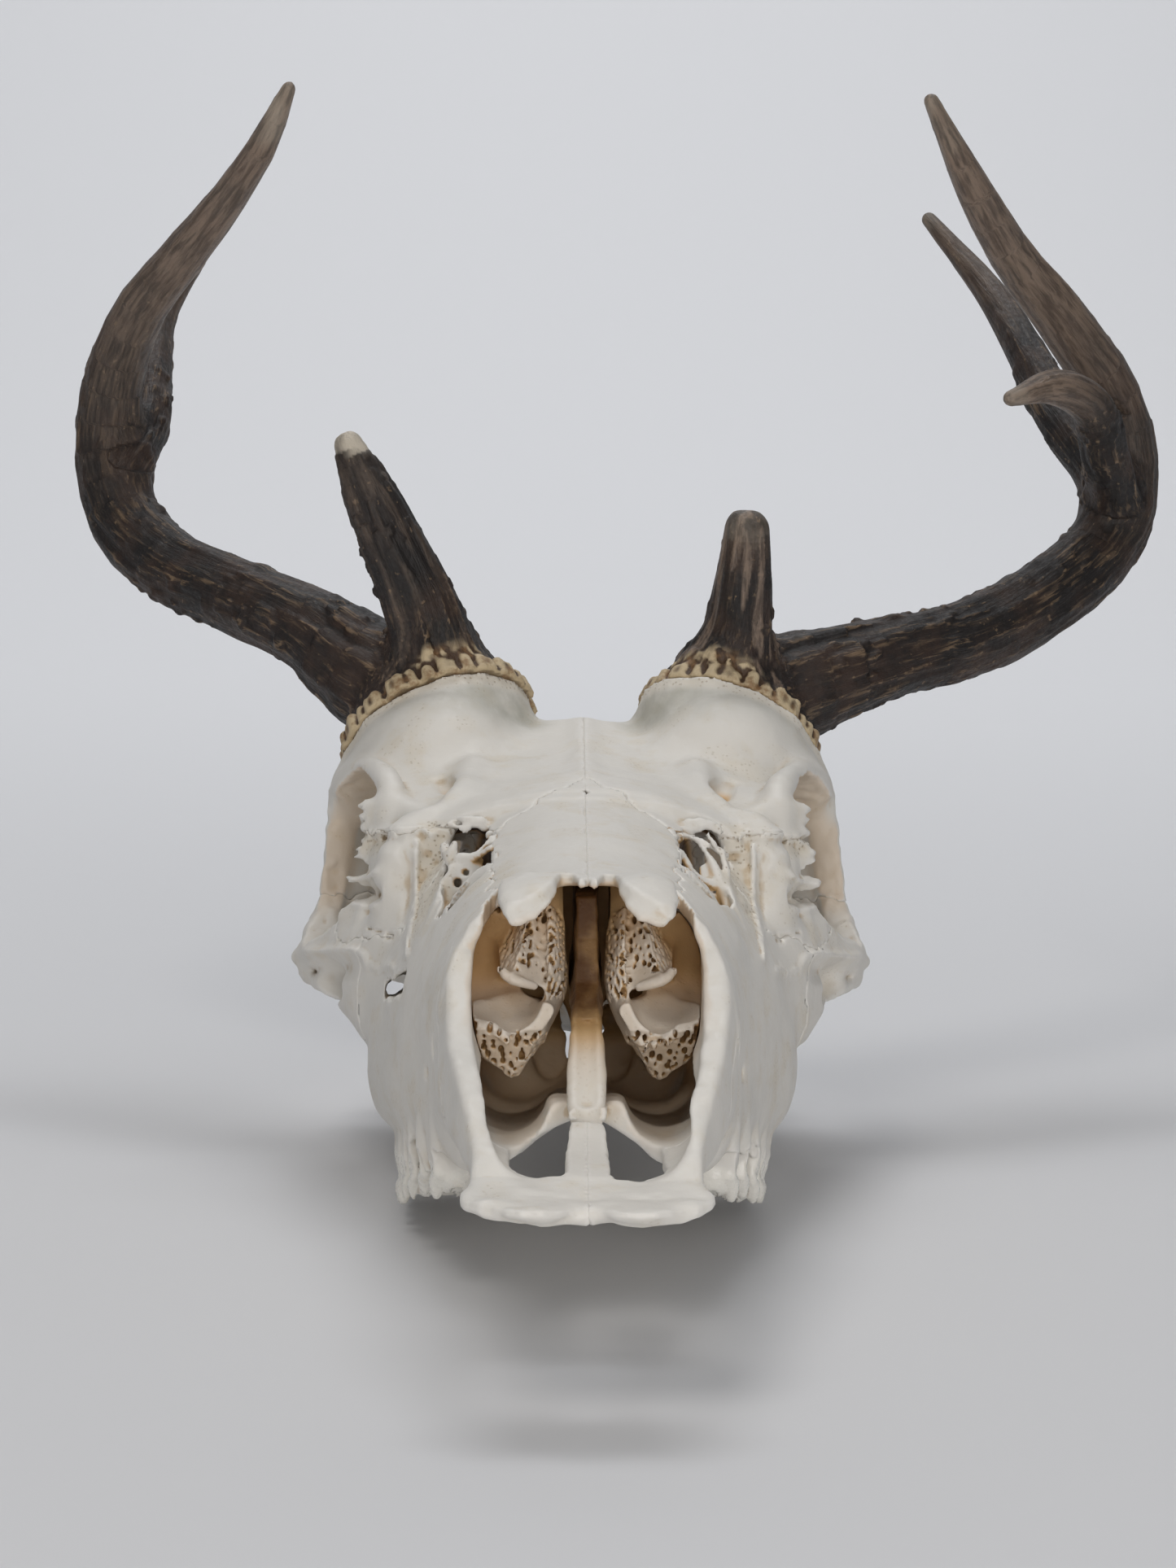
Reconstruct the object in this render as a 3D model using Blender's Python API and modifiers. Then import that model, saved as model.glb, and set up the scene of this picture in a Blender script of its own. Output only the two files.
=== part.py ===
"""White-tailed deer skull with antlers, life size, lying as a bare skull rests on a table.

The skull is modelled in its own frame in millimetres: X across, Y backwards from the tip of the snout,
Z up from the chewing surface of the teeth. It is made whole, opened where the real skull is open, and
then parted into its bones. Last of all it is tipped onto its rear molars and the two processes beside
the neck joint, scaled to metres and set on the floor.
"""

from math import cos, pi, radians, sin

import bmesh
import bpy
import numpy as np
from mathutils import Matrix, Vector

# ---------------------------------------------------------------- driving sizes, millimetres

MILLIMETRE = 0.001
BONE_GAP = 0.36            # open suture between two bones
UNION_CELL = 1.5           # cell in which the overlapping forms are fused
SKULL_TRIANGLES = 2500      # of the fused forms, before the openings are cut
ANTLER_TRIANGLES = 620
FLATNESS = radians(4)       # faces this near to one plane become one face
REST_TILT = radians(-9.9)  # snout up, on the rear molars and the paroccipital processes
FLOOR_TRIM = 0.7           # height worn flat where the skull touches the floor

# Profiles along the skull: distance behind the snout tip -> size there.
ROOF = {6: 9, 20: 26, 40: 45, 60: 59, 80: 63, 100: 68, 120: 73, 146: 80, 160: 84, 175: 89,
        190: 94.5, 202: 98, 214: 98, 228: 95.5, 242: 90, 254: 82, 264: 73, 268: 64}
SNOUT_HALF = {6: 16, 14: 20, 28: 21.6, 48: 24.8, 62: 26, 80: 27.5, 100: 32, 120: 37.5, 140: 41.5, 152: 41}
SNOUT_MID = {6: 7, 28: 15, 48: 26, 62: 31, 80: 28, 120: 29, 140: 31, 152: 33}
SNOUT_BASE = {6: 5.5, 28: 9, 48: 11.5, 80: 11.5, 120: 9.5, 152: 8.5}
SNOUT_ROUNDING = {6: 2.2, 60: 2.5, 90: 2.4, 120: 2.1, 152: 2}    # exponent of the upper half's superellipse
CAVITY_HALF = {14: 9, 22: 12.6, 30: 15.2, 40: 18, 50: 19.2, 57: 19.6, 75: 20.5, 100: 22.5, 128: 24, 148: 19}
CAVITY_MID = {14: 14, 22: 18, 40: 29, 57: 39, 80: 38, 120: 42, 148: 46}
CAVITY_FLOOR = {14: 10.5, 30: 14, 50: 21, 90: 22, 128: 23, 148: 25}
TROUGH_PATH = [(8.4, 15, 14.6, 4.6, 4), (10.6, 32, 18, 6.6, 6), (12.8, 50, 22, 6.6, 7.2), (13.5, 90, 24, 7.5, 7.2),
               (12.5, 140, 26, 7.5, 7)]
VAULT_HALF = {46: 17, 80: 17.5, 110: 19.5, 175: 20}
VAULT_TOP = {46: 19.2, 90: 19.6, 130: 20, 175: 20}
CORE_HALF = {142: 30, 158: 26, 172: 22, 185: 23, 198: 29, 212: 34, 228: 36, 242: 34.5, 254: 31.5, 263: 28, 268: 21}
CORE_MID = {142: 60, 190: 66, 228: 64, 254: 54, 268: 50}
CORE_BASE = {142: 42, 165: 44, 190: 44, 205: 40, 225: 36, 250: 34, 268: 38}
BROW_HALF = {138: 30, 150: 35, 160: 39, 172: 44.5, 184: 49.5, 196: 52.5, 203: 51, 209: 42}
BROW_MID = {138: 68.5, 150: 71.8, 160: 75, 172: 78, 184: 80.7, 196: 82.4, 203: 83.9, 209: 84.2}
ROOF_THICKNESS = 4.0
BROW_THICKNESS = 3.0

ORBIT_CENTRE = (50, 175.5, 66.5)
ORBIT_RADII = (27, 21.5, 19)
ORBIT_TURN = radians(-19)

TOOTH_ROW_START = 82.0
# length along the row, width across it, number of lobes: three premolars, then three molars
TEETH = [(11, 9, 1), (12, 10.5, 1), (11, 12, 1), (14, 14, 2), (15.5, 15, 2), (15, 14, 2)]
TOOTH_ROW_OUTER = {82: 26, 100: 30, 120: 34, 140: 35.5, 160: 34.5}
TOOTH_TIP = {80: 4, 100: 2.2, 120: 0.5, 140: -0.8, 160: -0.6}

PEDICLE_FOOT = Vector((29.5, 194, 84))
PEDICLE_HEAD = Vector((30.6, 207.5, 94.5))
PEDICLE_RADIUS = 19.0
BURR_AXIS = Vector((0.33, 0.5, 0.8)).normalized()
BURR_RADIUS = {"right": 23.0, "left": 21.6}
BURR_PEARLS = 24
SEAT_RADIUS = 26.0
SEAT_DEPTH = 40.0

SIDES = {"left": 1, "right": -1}


# ---------------------------------------------------------------- small helpers

def profile(knots, at):
    """Smooth value of a profile at one place or many."""
    xs = np.array(sorted(knots), float)
    ys = np.array([knots[x] for x in sorted(knots)], float)
    slopes = np.gradient(ys, xs)
    at = np.clip(at, xs[0], xs[-1])
    i = np.clip(np.searchsorted(xs, at) - 1, 0, len(xs) - 2)
    step = xs[i + 1] - xs[i]
    t = (at - xs[i]) / step
    a, b = (1 + 2 * t) * (1 - t) ** 2, t * (1 - t) ** 2
    c, d = t * t * (3 - 2 * t), t * t * (t - 1)
    return a * ys[i] + b * step * slopes[i] + c * ys[i + 1] + d * step * slopes[i + 1]


def smooth_path(points, count):
    """Evenly parted points of a smooth curve through the given ones; extra columns, such as radii, go along."""
    points = np.array([[*p] for p in points], float)
    length = np.concatenate([[0], np.cumsum(np.linalg.norm(np.diff(points[:, :3], axis=0), axis=1))])
    at = np.linspace(0, length[-1], count)
    return np.array([profile(dict(zip(length, column)), at) for column in points.T]).T


def superellipse(angle, half, up, down, n_up, n_down):
    """Point of an outline that is one superellipse above its middle and another below."""
    c, s = cos(angle), sin(angle)
    n, height = (n_up, up) if s >= 0 else (n_down, down)
    return half * np.sign(c) * abs(c) ** (2 / n), height * np.sign(s) * abs(s) ** (2 / n)


def add_rings(bm, rings):
    """Skin a row of equal rings and close both ends."""
    rows = [[bm.verts.new(p) for p in ring] for ring in rings]
    for a, b in zip(rows, rows[1:]):
        for i in range(len(a)):
            j = (i + 1) % len(a)
            bm.faces.new((a[i], a[j], b[j], b[i]))
    bm.faces.new(rows[0][::-1])
    bm.faces.new(rows[-1])


def at_place(knots, y):
    """Profile's value; a plain number is the same everywhere."""
    return profile(knots, y) if isinstance(knots, dict) else knots


def shifted(knots, by):
    """Profile that lies higher than another by a number."""
    return {y: height + by for y, height in knots.items()}


def add_loft(bm, stations, half, middle, base, top, n_up, n_down, corners=40):
    """Body along Y whose sections follow the given profiles."""
    rings = []
    for y in stations:
        w, mid, low, high, n = (at_place(knots, y) for knots in (half, middle, base, top, n_up))
        ring = [superellipse(2 * pi * k / corners, w, high - mid, mid - low, n, n_down) for k in range(corners)]
        rings.append([(x, y, mid + z) for x, z in ring])
    add_rings(bm, rings)


def add_sweep(bm, points, up=(0, 0, 1), count=14, corners=14):
    """Tube along a path; each point is x, y, z, radius, and if it isn't round a second radius towards up."""
    path = smooth_path([p if len(p) == 5 else (*p, p[3]) for p in points], count)
    centres = [Vector(p[:3]) for p in path]
    rings = []
    for i, centre in enumerate(centres):
        along = (centres[min(i + 1, count - 1)] - centres[max(i - 1, 0)]).normalized()
        side = along.cross(Vector(up)).normalized()
        rise = side.cross(along)
        a, b = path[i][3], path[i][4]
        rings.append([centre + side * a * cos(t) + rise * b * sin(t)
                      for t in (2 * pi * k / corners for k in range(corners))])
    add_rings(bm, rings)


def add_ball(bm, centre, radii, turn=0.0, tip=0.0, segments=24):
    """Ellipsoid, tipped about X and then turned about Z."""
    place = (Matrix.Translation(centre) @ Matrix.Rotation(turn, 4, "Z") @ Matrix.Rotation(tip, 4, "X")
             @ Matrix.Diagonal((*radii, 1)))
    bmesh.ops.create_uvsphere(bm, u_segments=segments, v_segments=segments // 2, radius=1, matrix=place)


def add_disc(bm, place, along, radius, depth, segments=16):
    """Cylinder across a direction."""
    turn = Vector((0, 0, 1)).rotation_difference(along).to_matrix().to_4x4()
    bmesh.ops.create_cone(bm, cap_ends=True, segments=segments, radius1=radius, radius2=radius, depth=depth,
                          matrix=Matrix.Translation(place) @ turn)


def add_prism(bm, outline, low, high, axis="X"):
    """Straight prism: a flat outline of (y, z) pushed along X, or of (x, y) pushed along Z."""
    add_rings(bm, [[(h, *p) if axis == "X" else (*p, h) for p in outline] for h in (low, high)])


def mesh_object(name, bm, collection, cutter=False):
    """Object from a bmesh whose shells all face outwards."""
    bmesh.ops.recalc_face_normals(bm, faces=bm.faces)
    mesh = bpy.data.meshes.new(name)
    bm.to_mesh(mesh)
    bm.free()
    obj = bpy.data.objects.new(name, mesh)
    collection.objects.link(obj)
    if cutter:
        obj.hide_render = True
        obj.display_type = "WIRE"
    return obj


def mirrored(build, *args):
    """Both sides of a form that is described for +X."""
    bm = bmesh.new()
    build(bm, *args)
    half = bm.copy()
    bmesh.ops.scale(half, vec=(-1, 1, 1), verts=half.verts)
    bmesh.ops.reverse_faces(half, faces=half.faces)
    spare = bpy.data.meshes.new("half")
    half.to_mesh(spare)
    half.free()
    bm.from_mesh(spare)
    bpy.data.meshes.remove(spare)
    return bm


def single(build):
    bm = bmesh.new()
    build(bm)
    return bm


def settle(obj):
    """Make the evaluated shape the object's own mesh."""
    bpy.context.view_layer.update()
    shape = bpy.data.meshes.new_from_object(obj.evaluated_get(bpy.context.evaluated_depsgraph_get()))
    obj.modifiers.clear()
    old, obj.data = obj.data, shape
    bpy.data.meshes.remove(old)


def thin_out(obj, triangles):
    facets = sum(len(p.vertices) - 2 for p in obj.data.polygons)
    thin = obj.modifiers.new("thin", "DECIMATE")
    thin.ratio = triangles / facets
    settle(obj)


def fuse(obj, cell, triangles, smoothing=4):
    """Fuse overlapping forms into one skin with few triangles."""
    remesh = obj.modifiers.new("fuse", "REMESH")
    remesh.mode = "VOXEL"
    remesh.voxel_size = cell
    soften = obj.modifiers.new("soften", "SMOOTH")
    soften.iterations = smoothing
    settle(obj)
    thin_out(obj, triangles)


def boolean(obj, other, operation):
    cut = obj.modifiers.new("cut", "BOOLEAN")
    cut.operation = operation
    cut.solver = "MANIFOLD"     # EXACT leaves open edges where the nose's thin walls are parted
    cut.object = other
    settle(obj)


def islands(obj):
    """Loose bodies of an object, largest first, each as a list of faces' corner rows."""
    bm = bmesh.new()
    bm.from_mesh(obj.data)
    bm.faces.ensure_lookup_table()
    seen, bodies = set(), []
    for face in bm.faces:
        if face.index in seen:
            continue
        body, queue = [], [face]
        seen.add(face.index)
        while queue:
            f = queue.pop()
            body.append(f.index)
            for edge in f.edges:
                for other in edge.link_faces:
                    if other.index not in seen:
                        seen.add(other.index)
                        queue.append(other)
        bodies.append(body)
    bodies.sort(key=len, reverse=True)
    return bm, bodies


def keep_largest(obj):
    """Drop the crumbs that a cut leaves beside a bone."""
    bm, bodies = islands(obj)
    crumbs = [bm.faces[i] for body in bodies[1:] for i in body]
    if crumbs:
        print(obj.name, "crumbs", [len(b) for b in bodies])
        bmesh.ops.delete(bm, geom=crumbs, context="FACES")
    bmesh.ops.dissolve_limit(bm, angle_limit=FLATNESS, verts=bm.verts, edges=bm.edges)
    bmesh.ops.triangulate(bm, faces=bm.faces)
    bm.to_mesh(obj.data)
    bm.free()


# ---------------------------------------------------------------- the skull's forms, for +X

def snout_and_braincase(bm):
    """Midline bodies: the snout, and the braincase with the wall between the eyes."""
    add_loft(bm, np.linspace(6, 152, 34), SNOUT_HALF, SNOUT_MID, SNOUT_BASE, ROOF, SNOUT_ROUNDING, 4)
    add_loft(bm, np.linspace(142, 268, 30), CORE_HALF, CORE_MID, CORE_BASE, ROOF, 2.1, 2.2)
    add_loft(bm, np.linspace(138, 209, 20), BROW_HALF, BROW_MID, shifted(BROW_MID, -BROW_THICKNESS), shifted(ROOF, -0.5),
             2.2, 2.2)
    add_sweep(bm, [(0, 8, 7, 3.4, 2.4), (0, 30, 11, 3.2, 3), (0, 56, 16, 3.4, 3.4)])   # bar between the fissures
    add_sweep(bm, [(0, 200, 40, 10, 6), (0, 235, 36, 10, 5.5), (0, 264, 37, 11, 6)])   # basal bone
    add_ball(bm, (0, 265, 77), (6, 4, 7))                                             # nuchal knob


def snout_tip(bm):
    """One broad flat lobe of the snout's tip."""
    add_ball(bm, (9.6, 12, 7.8), (9.2, 12, 3.0), turn=radians(-8))
    add_ball(bm, (15.8, 15, 8.4), (4.8, 9, 3.2), turn=radians(-14), tip=radians(14))
    add_ball(bm, (10.2, 62, 54.6), (5.6, 6, 2.8), tip=radians(14))     # hanging tip of the nasal bone


def orbit_rim(bm):
    ring = [(40, 153, 62, 2.6), (38.5, 159, 79, 2.8), (43, 173, 84.6, 2.4), (47.5, 188, 84.6, 2.4), (50.2, 199, 77, 2.6),
            (52, 199, 64, 2.3), (54, 191, 50.5, 3.0), (51, 175, 46, 2.8), (44.5, 160.5, 49.5, 2.8), (40, 153, 62, 2.6)]
    add_sweep(bm, ring, up=(1, -0.35, 0.05), count=40, corners=10)


def cheek(bm):
    """Cheek bone, and the arch that runs back to the braincase."""
    add_sweep(bm, [(30, 132, 40, 6, 11), (38, 144, 43, 6, 12), (46, 160, 45, 4.5, 8.5), (52, 175, 45.5, 4, 5),
                   (54.6, 189, 48.5, 3.4, 5), (55, 199, 51.5, 2.8, 4.2), (52.5, 209, 55, 2.6, 4), (46, 217, 56, 3, 4.5),
                   (36, 224, 54, 6, 6)], count=30)
    add_ball(bm, (56, 190, 47.5), (2.4, 7, 2.4), turn=radians(-15))     # outer corner of the cheek
    add_ball(bm, (33.5, 146, 58), (7.5, 10, 17), turn=radians(25))      # tear bone before the eye
    add_ball(bm, (40.5, 148, 35), (3.5, 12, 5.5), turn=radians(-22))    # tubercle at the crest's front end


def ear_and_base(bm):
    """Jaw joint, ear, and the processes that the skull stands on behind."""
    add_ball(bm, (33, 222, 47), (13, 9, 6.5))                                             # jaw joint
    add_sweep(bm, [(24, 236, 43, 6), (34, 238, 46, 5), (40, 239.5, 49, 4)], up=(0, 1, 0))  # ear opening
    add_ball(bm, (17, 232, 30), (7.5, 12, 8.5), turn=radians(15))                         # ear capsule
    add_sweep(bm, [(26, 246, 48, 8, 8), (25, 249, 34, 6.5, 4.5), (24, 252, 22, 4.5, 3.2), (23, 253, 14.6, 2.9, 2.6)],
              up=(0, 1, 0))                                                               # paroccipital process
    add_ball(bm, (11.5, 266, 38), (7.5, 9, 10.5), turn=radians(25), tip=radians(10))      # neck joint
    add_sweep(bm, [(0, 262, 80, 3.2), (16, 260.5, 75, 3), (27, 255, 62, 2.8), (31, 249, 48, 3)])  # nuchal crest
    wing_plate = [(12, 134, 26, 2, 8), (12.5, 160, 29, 1.9, 13), (12, 185, 31, 1.8, 13), (11, 204, 34, 2, 8)]
    add_sweep(bm, wing_plate)


def tooth_socket_ridge(bm):
    row = [(profile(TOOTH_ROW_OUTER, y) - 6.8, y, 17, 6.6, 8.5) for y in (80, 95, 110, 125, 140, 152)]
    add_sweep(bm, row, count=18)
    add_ball(bm, (28.5, 151, 26), (9.5, 11, 17))                        # swelling behind the last molar


def teeth(bm):
    """Two rows of cheek teeth, each molar of two lobes with an outer ridge between them."""
    start = TOOTH_ROW_START
    for length, width, lobes in TEETH:
        for lobe in range(lobes):
            long = length / lobes
            y = start + long * (lobe + 0.5)
            x = profile(TOOTH_ROW_OUTER, y) - width / 2
            tip = profile(TOOTH_TIP, y)
            crown = [(x, y, tip + 14, width / 2, long * 0.54), (x, y, tip + 4, width / 2 - 0.3, long * 0.52),
                     (x + 0.6, y, tip + 0.9, width / 2 - 1.5, long * 0.42), (x + 1.4, y, tip, width / 2 - 3.2, long * 0.2)]
            add_sweep(bm, crown, up=(0, 1, 0), count=8, corners=10)
            rib = x + width / 2 - 0.8, y - long * 0.47
            add_sweep(bm, [(*rib, tip + 13, 1.2), (*rib, tip + 1.5, 1)], up=(0, 1, 0), count=5, corners=6)
        start += length


def pedicle(bm):
    """Stalk of bone that carries the antler."""
    foot, head = PEDICLE_FOOT, PEDICLE_HEAD
    middle = foot.lerp(head, 0.5)
    r = PEDICLE_RADIUS
    add_sweep(bm, [(*(foot - BURR_AXIS * 8), r - 1), (*foot, r - 0.5), (*middle, r - 1), (*head, r)],
              up=(0, 1, 0), count=8, corners=24)


# ---------------------------------------------------------------- openings

def nasal_cavity(bm, clearance=0.0):
    """Hollow of the nose, or the room in it that is at least this far from its walls."""
    add_loft(bm, np.linspace(14, 148, 12), shifted(CAVITY_HALF, -clearance), CAVITY_MID, shifted(CAVITY_FLOOR, clearance),
             shifted(ROOF, -ROOF_THICKNESS - clearance), 2.9, 2.5, 20)


def nostril_slope(bm):
    """All that lies before the slanted rim of the nose opening."""
    rim = [(-10, 10.6), (16, 10.6), (22.5, 15.5), (30, 20.8), (40, 28), (50, 34.8), (57, 42), (61, 48), (60.5, 54), (58.5, 95),
           (-10, 95)]
    add_prism(bm, rim, -50, 50)


def throat(bm):
    """Passage from the nose to behind the palate, beside the vomer."""
    path = [(6.3, 120, 29, 4.6, 9), (6.3, 150, 31, 4.4, 8.5), (6, 182, 32, 4.4, 9), (6, 212, 30, 4.4, 7)]
    add_sweep(bm, path, count=6, corners=10)
    add_ball(bm, (3.9, 57, 56), (2.1, 6.5, 9), segments=12)               # notch in the nasal bone's front edge


def nose_floor(bm):
    """Trough on each side of the nose's floor."""
    add_sweep(bm, TROUGH_PATH, count=9, corners=10)


def palate_vault(bm):
    """Hollow between the two rows of teeth, below the palate."""
    add_loft(bm, np.linspace(46, 175, 7), VAULT_HALF, 3, -12, VAULT_TOP, 1.5, 2.4, 16)


def side_openings(bm):
    """Slit beside the snout's bar, gap before the eye socket, the socket itself and the nerve opening."""
    add_ball(bm, (8.2, 36.5, 12), (5.0, 16.8, 16), turn=radians(-3), segments=12)
    add_ball(bm, (25.5, 121, 63), (6.5, 17, 9.5), turn=radians(-14), tip=radians(24), segments=12)
    add_ball(bm, ORBIT_CENTRE, ORBIT_RADII, turn=ORBIT_TURN, segments=20)
    add_ball(bm, (28, 79, 31), (4, 5, 2.4), turn=radians(-20), segments=8)


def burr_seat(bm):
    """Flat end of the pedicle, clear of the bone behind it."""
    add_disc(bm, PEDICLE_HEAD + BURR_AXIS * SEAT_DEPTH / 2, BURR_AXIS, SEAT_RADIUS, SEAT_DEPTH, 24)


def neck_opening(bm):
    """Opening for the spinal cord."""
    add_ball(bm, (0, 270, 48.5), (9.8, 15, 8.6), tip=radians(-12), segments=14)


# ---------------------------------------------------------------- bones

def midline_limit(side, low, shrink):
    """Where a cutter starts: half a suture off the midline, or across it where the other side is already cut."""
    if low != 0:
        return low + shrink
    return shrink / 2 if shrink or side > 0 else -1


def wedge(bm, side, outline, low, high, shrink):
    """Cutter with a (y, z) outline; it covers x from low to high on one side."""
    centre = np.mean(outline, axis=0)
    low = midline_limit(side, low, shrink)
    add_prism(bm, [pull_in(p, centre, outline, shrink) for p in outline], *sorted((side * low, side * (high - shrink))))


def pull_in(point, centre, outline, shrink):
    """Corner of a convex outline after each of its sides is moved inwards by shrink."""
    i = outline.index(point)
    a, p, b = (np.array(outline[k % len(outline)], float) for k in (i - 1, i, i + 1))
    lines = []
    for q, r in ((a, p), (p, b)):
        normal = np.array([-(r - q)[1], (r - q)[0]]) / np.linalg.norm(r - q)
        if normal @ (np.array(centre) - q) < 0:
            normal = -normal
        lines.append((normal, normal @ q + shrink))
    return tuple(np.linalg.solve([lines[0][0], lines[1][0]], [lines[0][1], lines[1][1]]))


def plan_wedge(bm, side, outline, low, high, shrink):
    """Cutter with an (x, y) outline on one side, between two heights."""
    centre = np.mean(outline, axis=0)
    inner = [pull_in(p, centre, outline, shrink) for p in outline]
    at_middle = midline_limit(side, 0, shrink)
    inner = [(max(at_middle, 0) if p[0] == 0 else q[0], q[1]) for p, q in zip(outline, inner)]
    if at_middle < 0:
        inner = [(at_middle, inner[0][1]), *inner, (at_middle, inner[-1][1])]
    add_prism(bm, [(side * x, y) for x, y in inner], low, high, axis="Z")


FAR = 400
NASAL_PLAN = [(0, 45), (15.4, 45), (17.6, 127), (0, 148)]
PREMAXILLA_SIDE = [(-10, -10), (38, -10), (45, 12), (72, 50), (60, 62), (-10, 62)]
FRONTAL_SIDE = [(108, 71), (160, 71), (166, 60), (211, 60), (217, FAR), (108, FAR)]
LACRIMAL_SIDE = [(128, 52), (152, 49), (172, 56), (172, 76), (126, 76)]
ZYGOMATIC_SIDE = [(143, 30), (208, 30), (204, 76), (152, 76), (143, 55)]
MAXILLA_SIDE = [(10, -20), (164, -20), (164, 44), (150, 50), (150, 90), (10, 90)]
OCCIPITAL_SIDE = [(258, 100), (245, 60), (244, -20), (300, -20), (300, 100)]

# bone -> cutter, its outline, and the two limits across the outline; taken from the skull in this order
BONES = {
    "nasal": (plan_wedge, NASAL_PLAN, 44, 120),
    "premaxilla": (wedge, PREMAXILLA_SIDE, 0, 60),
    "frontal": (wedge, FRONTAL_SIDE, 0, 80),
    "lacrimal": (wedge, LACRIMAL_SIDE, 22, 80),
    "zygomatic": (wedge, ZYGOMATIC_SIDE, 35.5, 80),
    "maxilla": (wedge, MAXILLA_SIDE, 0, 80),
}


def copy_of(obj, name):
    twin = obj.copy()
    twin.data = obj.data.copy()
    twin.name = name
    obj.users_collection[0].objects.link(twin)
    return twin


def take(skull, name, cutters, build):
    """Cut one bone out of the skull, leaving an open suture round it."""
    tools = []
    for shrink in (BONE_GAP, 0):
        bm = bmesh.new()
        build(bm, shrink)
        tools.append(mesh_object(f"{name}_cutter", bm, cutters, cutter=True))
    bone = copy_of(skull, name)
    boolean(bone, tools[0], "INTERSECT")
    boolean(skull, tools[1], "DIFFERENCE")
    for tool in tools:
        bpy.data.objects.remove(tool)
    keep_largest(bone)
    return bone


def make_skull(parts, cutters):
    whole = bmesh.new()
    for build in (snout_tip, orbit_rim, cheek, ear_and_base, tooth_socket_ridge, teeth, pedicle):
        both = mirrored(build)
        spare = bpy.data.meshes.new("spare")
        both.to_mesh(spare)
        both.free()
        whole.from_mesh(spare)
        bpy.data.meshes.remove(spare)
    snout_and_braincase(whole)
    skull = mesh_object("braincase", whole, parts)
    fuse(skull, UNION_CELL, SKULL_TRIANGLES)
    openings = [single(build) for build in (nasal_cavity, nostril_slope, palate_vault, neck_opening)]
    openings += [mirrored(build) for build in (throat, nose_floor, side_openings, burr_seat)]
    for bm in openings:
        tool = mesh_object("opening", bm, cutters, cutter=True)
        boolean(skull, tool, "DIFFERENCE")
        bpy.data.objects.remove(tool)
    bones = []
    for kind, (shape, outline, low, high) in BONES.items():
        for side, sign in SIDES.items():
            bones.append(take(skull, f"{kind}_{side}", cutters,
                              lambda bm, shrink: shape(bm, sign, outline, low, high, shrink)))
    bones.append(take(skull, "occipital", cutters,
                      lambda bm, shrink: wedge(bm, 1, OCCIPITAL_SIDE, -60, 60, shrink)))
    keep_largest(skull)
    return bones + [skull]


# ---------------------------------------------------------------- inside the nose

def make_nose_inside(parts, cutters):
    """Vomer between the two sides, and a scrolled turbinate on each."""
    bm = bmesh.new()
    add_sweep(bm, [(0, 62, 19.6, 2.6), (0, 60, 27, 3.6), (0, 62, 42, 3), (0, 65, 54.6, 2.1)], up=(0, 1, 0), corners=10)
    add_loft(bm, np.linspace(62, 145, 12), VOMER_HALF, 30, VOMER_BASE, shifted(ROOF, -ROOF_THICKNESS - 1.4), 6, 6, 16)
    vomer = mesh_object("vomer", bm, parts)
    fuse(vomer, 0.8, 200, 2)
    made = [vomer]
    for side, sign in SIDES.items():
        bm = bmesh.new()
        roll(bm, sign)
        turbinate = mesh_object(f"turbinate_{side}", bm, parts)
        fuse(turbinate, 0.75, 280, 2)
        made.append(turbinate)
    bm = bmesh.new()
    nasal_cavity(bm, NOSE_CLEARANCE)
    room = mesh_object("room", bm, cutters, cutter=True)
    for obj in made:
        boolean(obj, room, "INTERSECT")
        keep_largest(obj)
    bpy.data.objects.remove(room)
    return made


# Section of the turbinate, looking in at the nose, from the roof down: x, z
SCROLL = [(13, 51), (8, 48), (4.9, 42), (5.2, 36), (8, 30.5), (12, 27.5), (16.4, 30.5), (17.6, 35.5), (14, 33.6), (9.8, 35.6),
          (8.8, 40), (13, 42.6), (17.4, 41.6)]
SCROLL_WALL = 1.0
VOMER_HALF = {62: 2, 75: 1.4, 145: 1.2}
VOMER_BASE = {62: 21.9, 145: 26}
NOSE_CLEARANCE = 0.5
SCROLL_FRONT, SCROLL_BACK = 70, 130


def roll(bm, sign):
    """Thin rolled wall that runs back through the nose, its front edge slanting back below and above."""
    line = smooth_path([(x, 0, z) for x, z in SCROLL], 44)[:, [0, 2]]
    normal = np.gradient(line, axis=0)[:, ::-1] * (1, -1)
    normal /= np.linalg.norm(normal, axis=1)[:, None]
    outline = np.concatenate([line + normal * SCROLL_WALL, (line - normal * SCROLL_WALL)[::-1]])
    rings = []
    for t in np.linspace(0, 1, 8):
        y = SCROLL_FRONT + (SCROLL_BACK - SCROLL_FRONT) * t
        rings.append([(sign * x, y + (1 - t) * abs(z - 39) * 0.35, z + 0.12 * (y - SCROLL_FRONT)) for x, z in outline])
    add_rings(bm, rings)


# ---------------------------------------------------------------- antlers: x, y, z, radius, from base to tip

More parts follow.
